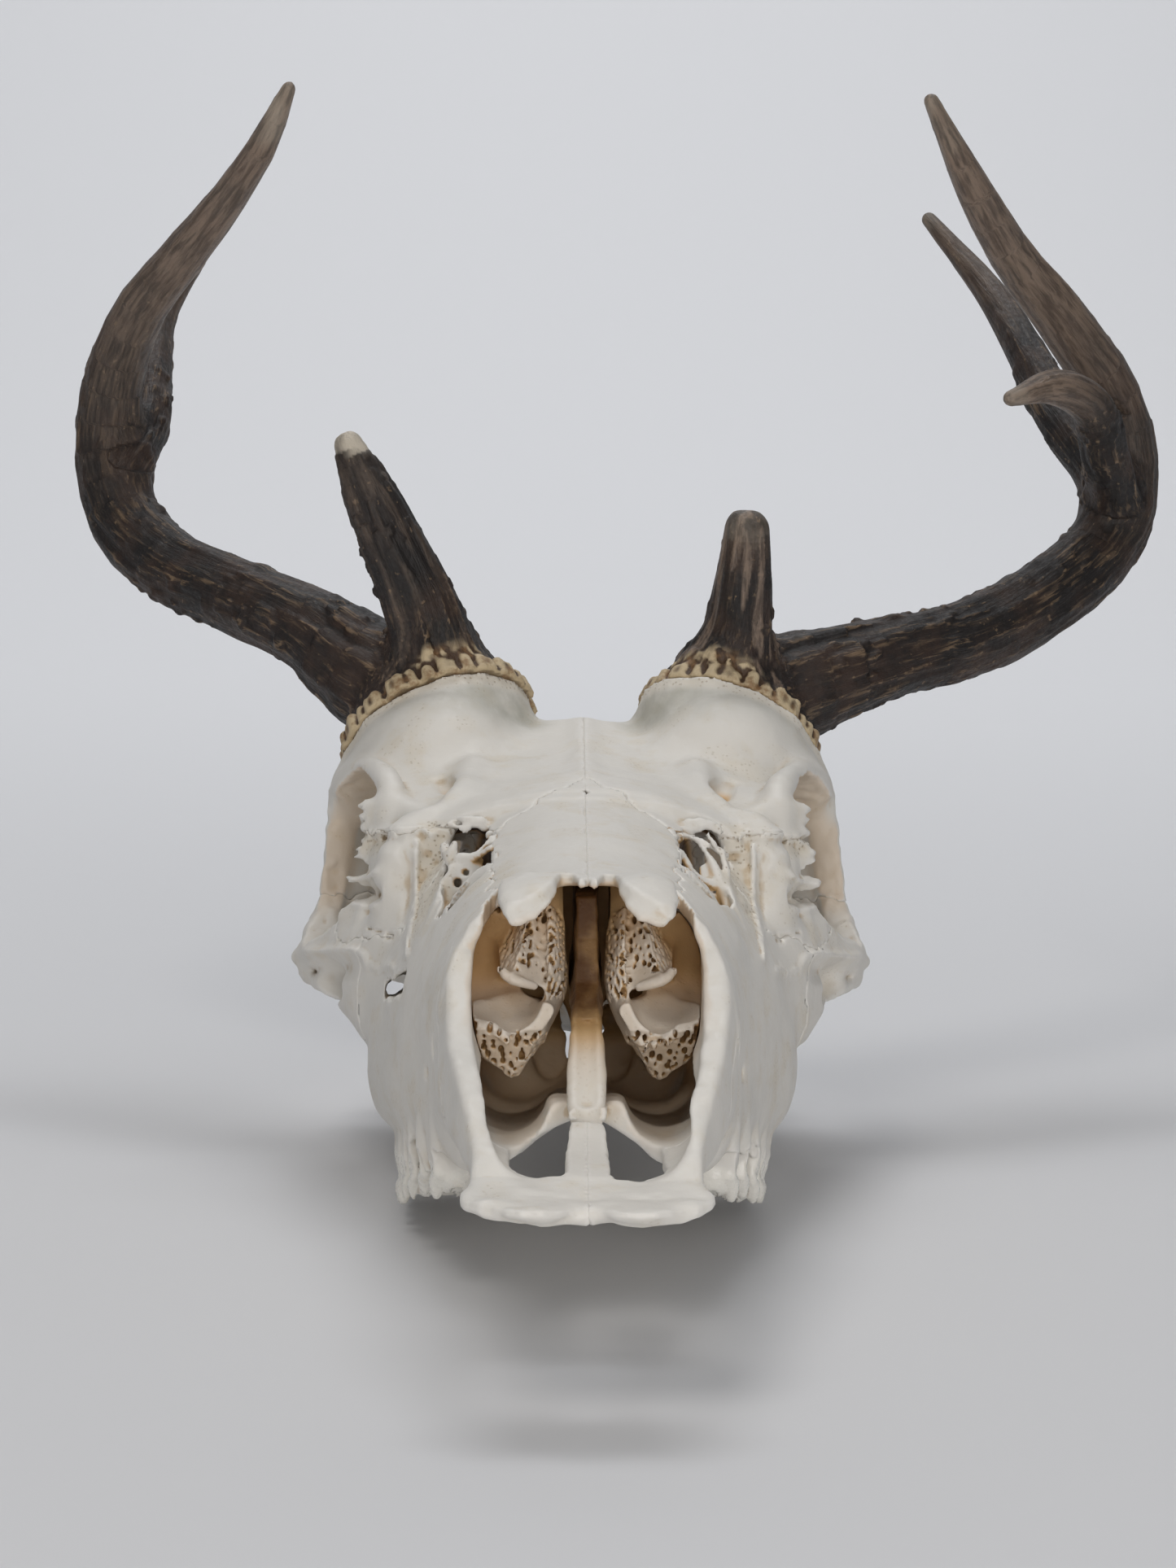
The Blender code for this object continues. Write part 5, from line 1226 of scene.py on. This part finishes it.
def scrollPiece(side):
    s = scrolls
    low, high, step = s["grid"]
    field = Field(low, high, step * coarse)
    x, y, z = field.grid()
    seed = 60 if side > 0 else 70
    rough = noiseSum(field, (2.4, seed, 0.12), (6, seed + 1, 0.5))
    tube(field, s["medial"], up=(0.94, 0.33, 0), blend=1.6, rough=rough * 0.8)
    f, b = s["front"], s["sheet"]
    front = f["y"] + f["zSlope"] * np.maximum(f["z"] - z, 0) + f["xSlope"] * np.maximum(f["x"] - x, 0) - y
    wedge = np.maximum(np.maximum(field.outline(s["wedge"], "xz") - 1.3, front), y - f["back"])
    field.join(everywhere, np.minimum(wedge + rough * 0.9, farAway), 1.2)
    for place, radii, tip in s["cups"]:
        ball(field, place, radii, 0, tip, 0.8, True, rough * 0.6)
    hood = field.d * 0 - farAway   # two faces that meet in a crease, cut off below in a lip
    for place, out in s["hood"]:
        hood = np.maximum(hood, (x - place[0]) * out[0] + (y - place[1]) * out[1] + (z - place[2]) * out[2])
    field.join(everywhere, np.minimum(hood + rough, farAway), 1.4)
    bend = y - b["y"] + b["curve"] * (z - b["z"]) ** 2 - b["slope"] * (x - b["x"])
    sheet = np.maximum(np.maximum(np.abs(bend) - b["half"], b["x"] - x), b["low"] - z)
    field.join(everywhere, np.minimum(sheet + rough, farAway), 3)
    addForms(field, s["lips"], rough, (1,))

    def allowed(spots, out):
        a, b, c = spots.T
        face = out[:, 1] < -0.12
        hood = (c > 45.2) & (b < 88)
        plate = (a < 8.2) & (c > 39.5) & (b < 86)
        below = (c < 33.5 + 0.9 * (a > 14) * 2) & (out[:, 2] < 0.1) & (b < 86)
        return face & (hood | plate | below) & (a > 3.6) & (b < 83)

    whole = Field(low, high, field.step)
    whole.d = field.d.copy()
    pierce(field, s["holes"], seed, allowed)
    # clear of the walls of the nose and of the other side
    r = nosePassage(x, y, z, curveAt(nose["floor"], y), 0, 0, 2.8)
    field.limit((r - 1) * 18 + 0.4)
    if side < 0:
        field.d = field.d[::-1].copy()
        field.low = np.array([-field.axes[0][-1], field.low[1], field.low[2]])
        field.axes[0] = -field.axes[0][::-1]

    def marks(points, normal):
        a, b, c = np.abs(points[:, 0]), points[:, 1], points[:, 2]
        # painted shade: the inside of each pierced hole is coloured deep brown
        holeShade = ramp(depthBelow(points, whole), 0.15, 0.6)
        cup = ramp(c, 46, 39) * (a > 8) * ramp(normal[:, 2], -0.2, 0.3)
        stain_and_shade = 0.25 + 0.4 * ramp(b, 75, 85) + 0.2 * ramp(b, 84, 105) + 0.1 * (c < 33)
        stain_and_shade += cup * (0.19 + 0.26 * ramp(b, 75, 88) - stain_and_shade)
        return innerMarks(np.maximum(stain_and_shade, holeShade * 0.85), 0.15)

    name = f"turbinate_{sideName(side)}"
    makePiece(name + "_scroll", field, name, "bone_inner", marks, 200)


vomer = {
    "trough": [(0, 51.5, 18.6, 2.5, 1.6), (0, 53.2, 21.5, 3.2, 1.8), (0, 55.6, 25.2, 3.65, 2.0),
        (0, 60, 30, 3.2, 2.2), (0, 68, 35.5, 3.0, 2.6), (0, 82, 40.5, 2.8, 3.4), (0, 110, 45, 2.6, 5),
        (0, 132, 47, 2.4, 6)],
    "plate": [(66, 36), (74, 42), (78, 50), (80, 57.5), (100, 61.5), (132, 67), (132, 42), (90, 38)],
}


def vomerPiece():
    field = Field((-5, 48, 14), (5, 134, 72), 0.4 * coarse)
    x, y, z = field.grid()
    rough = noiseSum(field, (2.6, 80, 0.2), (7, 81, 0.4))
    tube(field, vomer["trough"], up=(0, -1, 0.4), blend=1, rough=rough)
    groove = [(0, py - 1.9, pz + 1.3, a * 0.62, 1.5) for _, py, pz, a, _ in vomer["trough"][1:6]]
    tube(field, groove, up=(0, -1, 0.4), blend=0.9, hole=True)
    plate = np.maximum(field.outline(vomer["plate"], "yz"), np.abs(x) - 2.0 + rough)
    field.join(everywhere, np.minimum(plate, farAway), 1.5)
    for side in bothSides:   # grooves down the plate's front edge
        path = [(side * 0.9, 79.5, 59, 0.5), (side * 0.8, 77.4, 51, 0.6), (side * 0.9, 73.5, 43.5, 0.4)]
        tube(field, path, blend=0.6, hole=True)
    top = curveAt(skull["roof"], y) - curveAt(nose["roofThick"], y) - 0.4
    field.limit(np.where(y > 52, z - top, -9))
    field.limit((18.2 - z) + rough * 0.5)

    def marks(points, normal):
        up = points[:, 2] + 0.2 * (points[:, 1] - 56)
        stain_and_shade = 0.08 + 0.16 * ramp(up, 22, 30) + 0.46 * ramp(up, 28, 38) + 0.3 * ramp(up, 35, 43)
        return innerMarks(stain_and_shade, 0.2)

    makePiece("vomer_plate", field, "vomer", "bone_inner", marks, 200)


for side in bothSides:
    scrollPiece(side)
vomerPiece()
print("nose filled")


# antlers: x, y, z, radius from base to tip

antlers = {
    "right": {
        "beam": [(31, 211, 101, 14), (44, 215, 107, 12.5), (58, 221, 117, 9.4), (76, 236, 126, 8.4),
            (95, 254, 136, 8.2), (107, 267, 149, 8.2), (111, 271, 165, 8), (109, 265, 181, 6.8), (103, 254, 193, 6),
            (91, 239, 204, 5), (78.5, 222, 214.5, 3.9), (68, 205, 226, 2.7), (64.5, 200, 232.4, 1.6)],
        "brow": [(30, 205, 104, 12), (33, 200, 116, 8.5), (38, 195, 128, 7), (44, 192, 141, 5.8), (50, 190, 154, 3)],
        "rear": [(108, 268, 160, 6), (104, 280, 172, 6), (104, 292, 186, 5), (103, 306, 203, 3.6),
            (96, 318, 218, 1.6)],
    },
    "left": {
        "beam": [(31, 211, 101, 13.5), (45, 214, 106, 12), (66, 224, 113, 9), (88, 240, 120, 8.6),
            (108, 255, 132, 8.6), (122, 265, 146, 8.4), (126, 268, 162, 8), (122, 262, 178, 7), (111, 250, 191, 6.2),
            (96, 236, 205, 5), (84, 218, 218, 3.8), (74, 205, 232.6, 1.7)],
        "brow": [(30, 205, 104, 12), (32.5, 200, 116, 7.2), (33.5, 195, 127, 5.9), (34, 191, 137, 4.6)],
        "rear": [(121, 266, 160, 6), (113, 278, 175, 6), (107, 293, 193, 5), (99, 309, 212, 3.6),
            (86, 322, 232, 1.8)],
        "hook": [(124, 264, 152, 6), (119, 250, 162, 5.6), (113, 236, 172, 4.8), (103, 225, 174, 3.8),
            (93, 217, 170, 1.7)],
    },
}
antlerUp = (0.3, 0.8, -0.5)
burrSizes = {"right": {"radius": 23.0, "pearls": 43, "seed": 3}, "left": {"radius": 21.6, "pearls": 40, "seed": 8}}
overlap = 0.7     # the pieces of one antler run this far into each other
pathSteps = 29    # each branch is drawn in this many steps


def signOf(side):
    return 1 if side == "left" else -1


def branchPaths(side):
    sign = signOf(side)
    return {name: smoothPath([(sign * x, y, z, r) for x, y, z, r in points], pathSteps + 1)
            for name, points in antlers[side].items()}


# nearest branch of each point: its place along it in mm and from 0 to 1, and across it
def alongBranches(points, paths):
    best = np.full(len(points), 1e9)
    found = np.zeros((len(points), 5))
    for number, path in enumerate(paths.values()):
        steps = np.linalg.norm(np.diff(path[:, :3], axis=0), axis=1)
        starts = np.concatenate([[0], np.cumsum(steps)])
        for i in range(len(path) - 1):
            along = (path[i + 1, :3] - path[i, :3]) / steps[i]
            side = np.cross(along, antlerUp)
            side /= np.linalg.norm(side)
            rise = np.cross(side, along)
            q = points - path[i, :3]
            t = np.clip(q @ along, 0, steps[i])
            u, v = q @ side, q @ rise
            w = q @ along - t
            away = np.sqrt(u * u + v * v + w * w) - (path[i, 3] + (path[i + 1, 3] - path[i, 3]) * t / steps[i])
            near = away < best
            best[near] = away[near]
            place = starts[i] + t
            found[near] = np.stack([place, place / starts[-1], u, v, np.full(len(t), number)], 1)[near]
    return found


barkForm = {  # sizes across and along with a seed, and heights in mm
    "layers": {"long": ((1.25, 1.25, 11), 41), "broad": ((2.7, 2.7, 24), 42), "pearl": ((1.7, 1.7, 2.3), 43),
               "where": ((6, 6, 14), 44), "knob": ((4.5, 4.5, 6), 45)},
    "heights": {"long": 0.42, "broad": 0.55, "pearl": 1.3, "knob": 1.5, "always": 0.12},
}


def bark(found, names):  # ridges and pearls of the antler, in mm, and how far each point stands out from 0 to 1
    s, part, u, v, number = found.T
    p = np.stack([u, v, s], 1) + number[:, None] * 37.0
    long, broad, pearl, where, knob = (pointNoise(p, *layer) for layer in barkForm["layers"].values())
    pearl = np.maximum(pearl - 0.15, 0) * ramp(where, -0.2, 0.5)
    knob = np.maximum(knob - 0.35, 0)
    brow = number == list(names).index("brow")
    rugged = np.where(brow, 1.0 - 0.45 * ramp(part, 0.45, 1.0), 1.05 - 0.85 * ramp(part, 0.15, 0.85))
    h = barkForm["heights"]
    height = long * h["long"] + broad * h["broad"] + pearl * h["pearl"] + knob * h["knob"]
    stands = np.clip(0.5 + 0.55 * long + 0.35 * broad + pearl * 0.8, 0, 1) * rugged ** 0.5
    return rugged * height + h["always"] * broad, stands


def planeLift(field, path, at):  # distance past the plane that parts a branch, and from its axis
    i = round(at * pathSteps)
    place, along = path[i, :3], path[i + 1, :3] - path[i - 1, :3]
    along = along / np.linalg.norm(along)
    x, y, z = (a - b for a, b in zip(field.grid(), place))
    lift = x * along[0] + y * along[1] + z * along[2]
    return lift, np.sqrt(np.maximum(x * x + y * y + z * z - lift ** 2, 0))


def burrForms(field, side):
    b = burrSizes[side]
    flip = Vector((signOf(side), 1, 1))
    axis, head = pedicle["axis"], Vector(pedicle["head"])
    across = axis.cross(Vector((0, 1, 0))).normalized()
    ahead = across.cross(axis)
    rng = np.random.default_rng(b["seed"])
    foot, crown = (head + axis * 0.9) * flip, (head + axis * 5) * flip
    tube(field, [(*foot, b["radius"] - 2.6), (*crown, b["radius"] - 8.5)], up=(0, 1, 0), blend=1.5, pieces=4)
    count = b["pearls"]
    for k in range(count * 2):
        row = k % 2
        angle = 2 * math.pi * (k // 2 + 0.5 * row + rng.uniform(-0.3, 0.3)) / count
        spoke = across * math.cos(angle) + ahead * math.sin(angle)
        size = rng.uniform(0.7, 1.08) * (1.0 if row == 0 else 0.8)
        out = b["radius"] - 2.1 - row * 1.9 + rng.uniform(-0.5, 0.3)
        low = head + axis * (0.3 + row * 1.8) + spoke * (out - 0.3)
        high = head + axis * (2.6 + row * 1.4 + rng.uniform(-0.6, 1.3)) + spoke * (out - 0.3 - row * 0.6)
        tube(field, [(*(low * flip), 1.85 * size, 1.6 * size), (*(high * flip), 1.5 * size, 1.4 * size)],
            up=tuple(spoke * flip), blend=0.9, pieces=3)


def partOff(field, path, stretch, near, deep):  # cut a branch at the planes where its nodes part
    for at, past in zip(stretch, (False, True)):
        if 0 < at < 1:
            lift, away = planeLift(field, path, at)
            lift = (lift if past else -lift) - overlap
            field.limit(np.where((away < near) & (lift < deep), lift, -1))


def antlerPiece(name, side, stretches, low, high, step, slot, withBurr=False):
    # stretches: branch -> the part of it that this piece has
    paths = branchPaths(side)
    sign = signOf(side)
    field = Field(low, high, step * coarse)
    for branch, stretch in stretches.items():
        path = paths[branch]
        a, b = max(0, round(stretch[0] * pathSteps) - 3), min(pathSteps, round(stretch[1] * pathSteps) + 3)
        own = Field(low, high, field.step)
        tube(own, [tuple(p) for p in path[a:b + 1]], up=antlerUp, blend=0.5, pieces=b - a + 1)
        partOff(own, path, stretch, 22, 1000)
        field.join(everywhere, own.d, 5)
    for branch, stretch in stretches.items():   # the blend above swells past the planes, so they cut once more
        partOff(field, paths[branch], stretch, 15, 5)
    near = np.argwhere(np.abs(field.d) < 4.2)
    points = np.array(field.low) + near * field.step
    height = bark(alongBranches(points, paths), paths)[0]
    field.d[tuple(near.T)] -= height.astype(np.float32) * 0.9
    if withBurr:
        burrForms(field, side)
        x, y, z = field.grid()
        field.limit(0.15 - seatPlace(sign * x, y, z)[0])

    def marks(points, normal):
        found = alongBranches(points, paths)
        s, part, u, v, number = found.T
        left = side == "left"
        brow = number == list(paths).index("brow")
        worn = part + pointNoise(points, (4, 4, 6), 46) * 0.05
        pale = np.where(brow, 0.12 if left else 1, np.where(number == 0, 0.35, 0.2))
        tip = pale * np.where(brow, ramp(worn, 0.935, 1.0), ramp(worn, 0.92, 1.03))
        stripe = ramp(pointNoise(np.stack([u, v, s], 1), (1.5, 1.5, 60), 47), 0.02, 0.3) * (0.9 if left else 0.3)
        polish = np.where(brow, np.maximum(0.2 * ramp(part, 0.7, 1), stripe), ramp(part, 0.42, 0.85))
        polish = polish * np.where(number == list(paths).index("rear"), 0.55, 1)
        lift, away = fromSeat(points[:, 0] * sign, points[:, 1], points[:, 2])
        rim = burrSizes[side]["radius"]
        pearl = ramp(away - lift * 0.6, rim - 8.0, rim - 5.5) * ramp(lift, 7.5, 5.5)
        grain = np.stack([u, v, s / 9], 1) + number[:, None] * 23.0
        dark = np.where(brow, (0.3 if left else 0.9) * ramp(part, 0.3, 0.5), 0)
        return {"ridge": bark(found, paths)[1], "tip": tip, "polish": polish, "pearl": pearl * withBurr, "dark": dark,
                "grain": grain}

    makePiece(f"{name}_{side}_horn", field, f"{name}_{side}", slot, marks)


antlerPieces = {  # stretches of the branches, room around them, grid step, slot
    "antler_base": ({"beam": (0, 0.17), "brow": (0, 0.37)}, 26, 0.55, "burr_ivory", True),
    "antler_beam": ({"beam": (0.17, 0.45)}, 13, 0.5, "antler_brown"),
    "antler_crown": ({"beam": (0.45, 1), "rear": (0, 0.3), "hook": (0, 0.24)}, 13, 0.55, "antler_brown"),
    "brow_tine": ({"brow": (0.37, 1)}, 13, 0.45, "antler_dark"),
    "rear_tine": ({"rear": (0.3, 1)}, 10, 0.5, "antler_brown"),
    "hook_tine": ({"hook": (0.24, 1)}, 10, 0.45, "antler_brown"),
}


def antlerSet(side):
    paths = branchPaths(side)
    for name, (stretches, margin, *how) in antlerPieces.items():
        own = {branch: stretch for branch, stretch in stretches.items() if branch in paths}
        if own:
            spots = np.concatenate([paths[branch][max(0, round(start * pathSteps) - 1):round(end * pathSteps) + 2, :3]
                                    for branch, (start, end) in own.items()])
            antlerPiece(name, side, own, spots.min(0) - margin, spots.max(0) + margin, *how)


for side in antlers:
    antlerSet(side)
print("antlers skinned")


# stage, lights and camera

stage = {"wide": 5, "front": -4.0, "bendStart": 1.2, "bend": 1.4, "top": 4.5, "colour": (0.74, 0.74, 0.75, 1),
         "roughness": 0.8, "sky": (0.82, 0.86, 0.92, 1), "skyStrength": 0.16}


def makeStage():
    # floor that turns up into a wall behind
    start, r = stage["bendStart"], stage["bend"]
    bend = [(start + r * math.sin(t), r - r * math.cos(t)) for t in np.linspace(0.1, math.pi / 2, 15)]
    profile = [(stage["front"], 0.0), (start, 0.0), *bend, (start + r, stage["top"])]
    verts = [(x, y, z) for x in (-stage["wide"], stage["wide"]) for y, z in profile]
    n = len(profile)
    mesh = bpy.data.meshes.new("floor")
    mesh.from_pydata(verts, [], [(i, n + i, n + i + 1, i + 1) for i in range(n - 1)])
    floor = bpy.data.objects.new("floor", mesh)
    bpy.context.scene.collection.objects.link(floor)
    finish = bpy.data.materials.new("paleFloor")
    finish.use_nodes = True
    shader = finish.node_tree.nodes["Principled BSDF"].inputs
    shader["Base Color"].default_value, shader["Roughness"].default_value = stage["colour"], stage["roughness"]
    mesh.materials.append(finish)
    mesh.polygons.foreach_set("use_smooth", [True] * len(mesh.polygons))
    world = bpy.data.worlds.new("studio")
    bpy.context.scene.world = world
    world.use_nodes = True
    sky = world.node_tree.nodes["Background"].inputs
    sky["Color"].default_value, sky["Strength"].default_value = stage["sky"], stage["skyStrength"]


lights = [  # place, aim, size, power, colour
    ((-0.35, -0.75, 1.15), (0, 0, 0.08), 0.5, 3.4, (1.0, 0.97, 0.93)),
    ((0.15, -1.0, 0.2), (0, 0, 0.07), 0.6, 3.9, (1.0, 0.98, 0.96)),
    ((0.0, 0.6, 1.3), (0, 0, 0.1), 2.2, 2.2, (0.96, 0.98, 1.0)),
    ((0.0, 0.9, 2.4), (0, 2.6, 0.7), 1.6, 40, (0.97, 0.98, 1.0)),
]


def makeLights():
    for place, aim, size, power, colour in lights:
        bpy.ops.object.light_add(type="AREA", location=place)
        lamp = bpy.context.object
        lamp.data.shape = "DISK"
        lamp.data.size = size
        lamp.data.energy = power
        lamp.data.color = colour
        lamp.rotation_euler = (Vector(aim) - Vector(place)).to_track_quat("-Z", "Y").to_euler()


# turned by degrees; focal in pixels of a picture as high as given
camera = {"place": (-5.51, -540, 45), "yaw": 0.507, "pitch": 3.0, "roll": 0.517, "focal": 4288.0, "high": 1927}


def makeCamera():
    yaw, pitch, roll = (math.radians(camera[k]) for k in ("yaw", "pitch", "roll"))
    ahead = Vector((math.sin(yaw) * math.cos(pitch), math.cos(yaw) * math.cos(pitch), math.sin(pitch)))
    right = Vector((math.cos(yaw), -math.sin(yaw), 0))
    up = right.cross(ahead)
    turned = (right * math.cos(roll) + up * math.sin(roll), up * math.cos(roll) - right * math.sin(roll))
    axes = Matrix((turned[0], turned[1], -ahead)).transposed()
    turn = Matrix.Rotation(restTilt, 3, "X") @ axes
    bpy.ops.object.camera_add(location=toPart @ Vector(camera["place"]), rotation=turn.to_euler())
    eye = bpy.context.object
    eye.data.sensor_width = 36
    eye.data.lens = 36 * camera["focal"] / camera["high"]
    eye.data.clip_start = 0.01
    bpy.context.scene.camera = eye


makeStage()
makeLights()
makeCamera()
bpy.context.scene.view_settings.view_transform = "Standard"
print("total triangles", sum(triangleCounts))
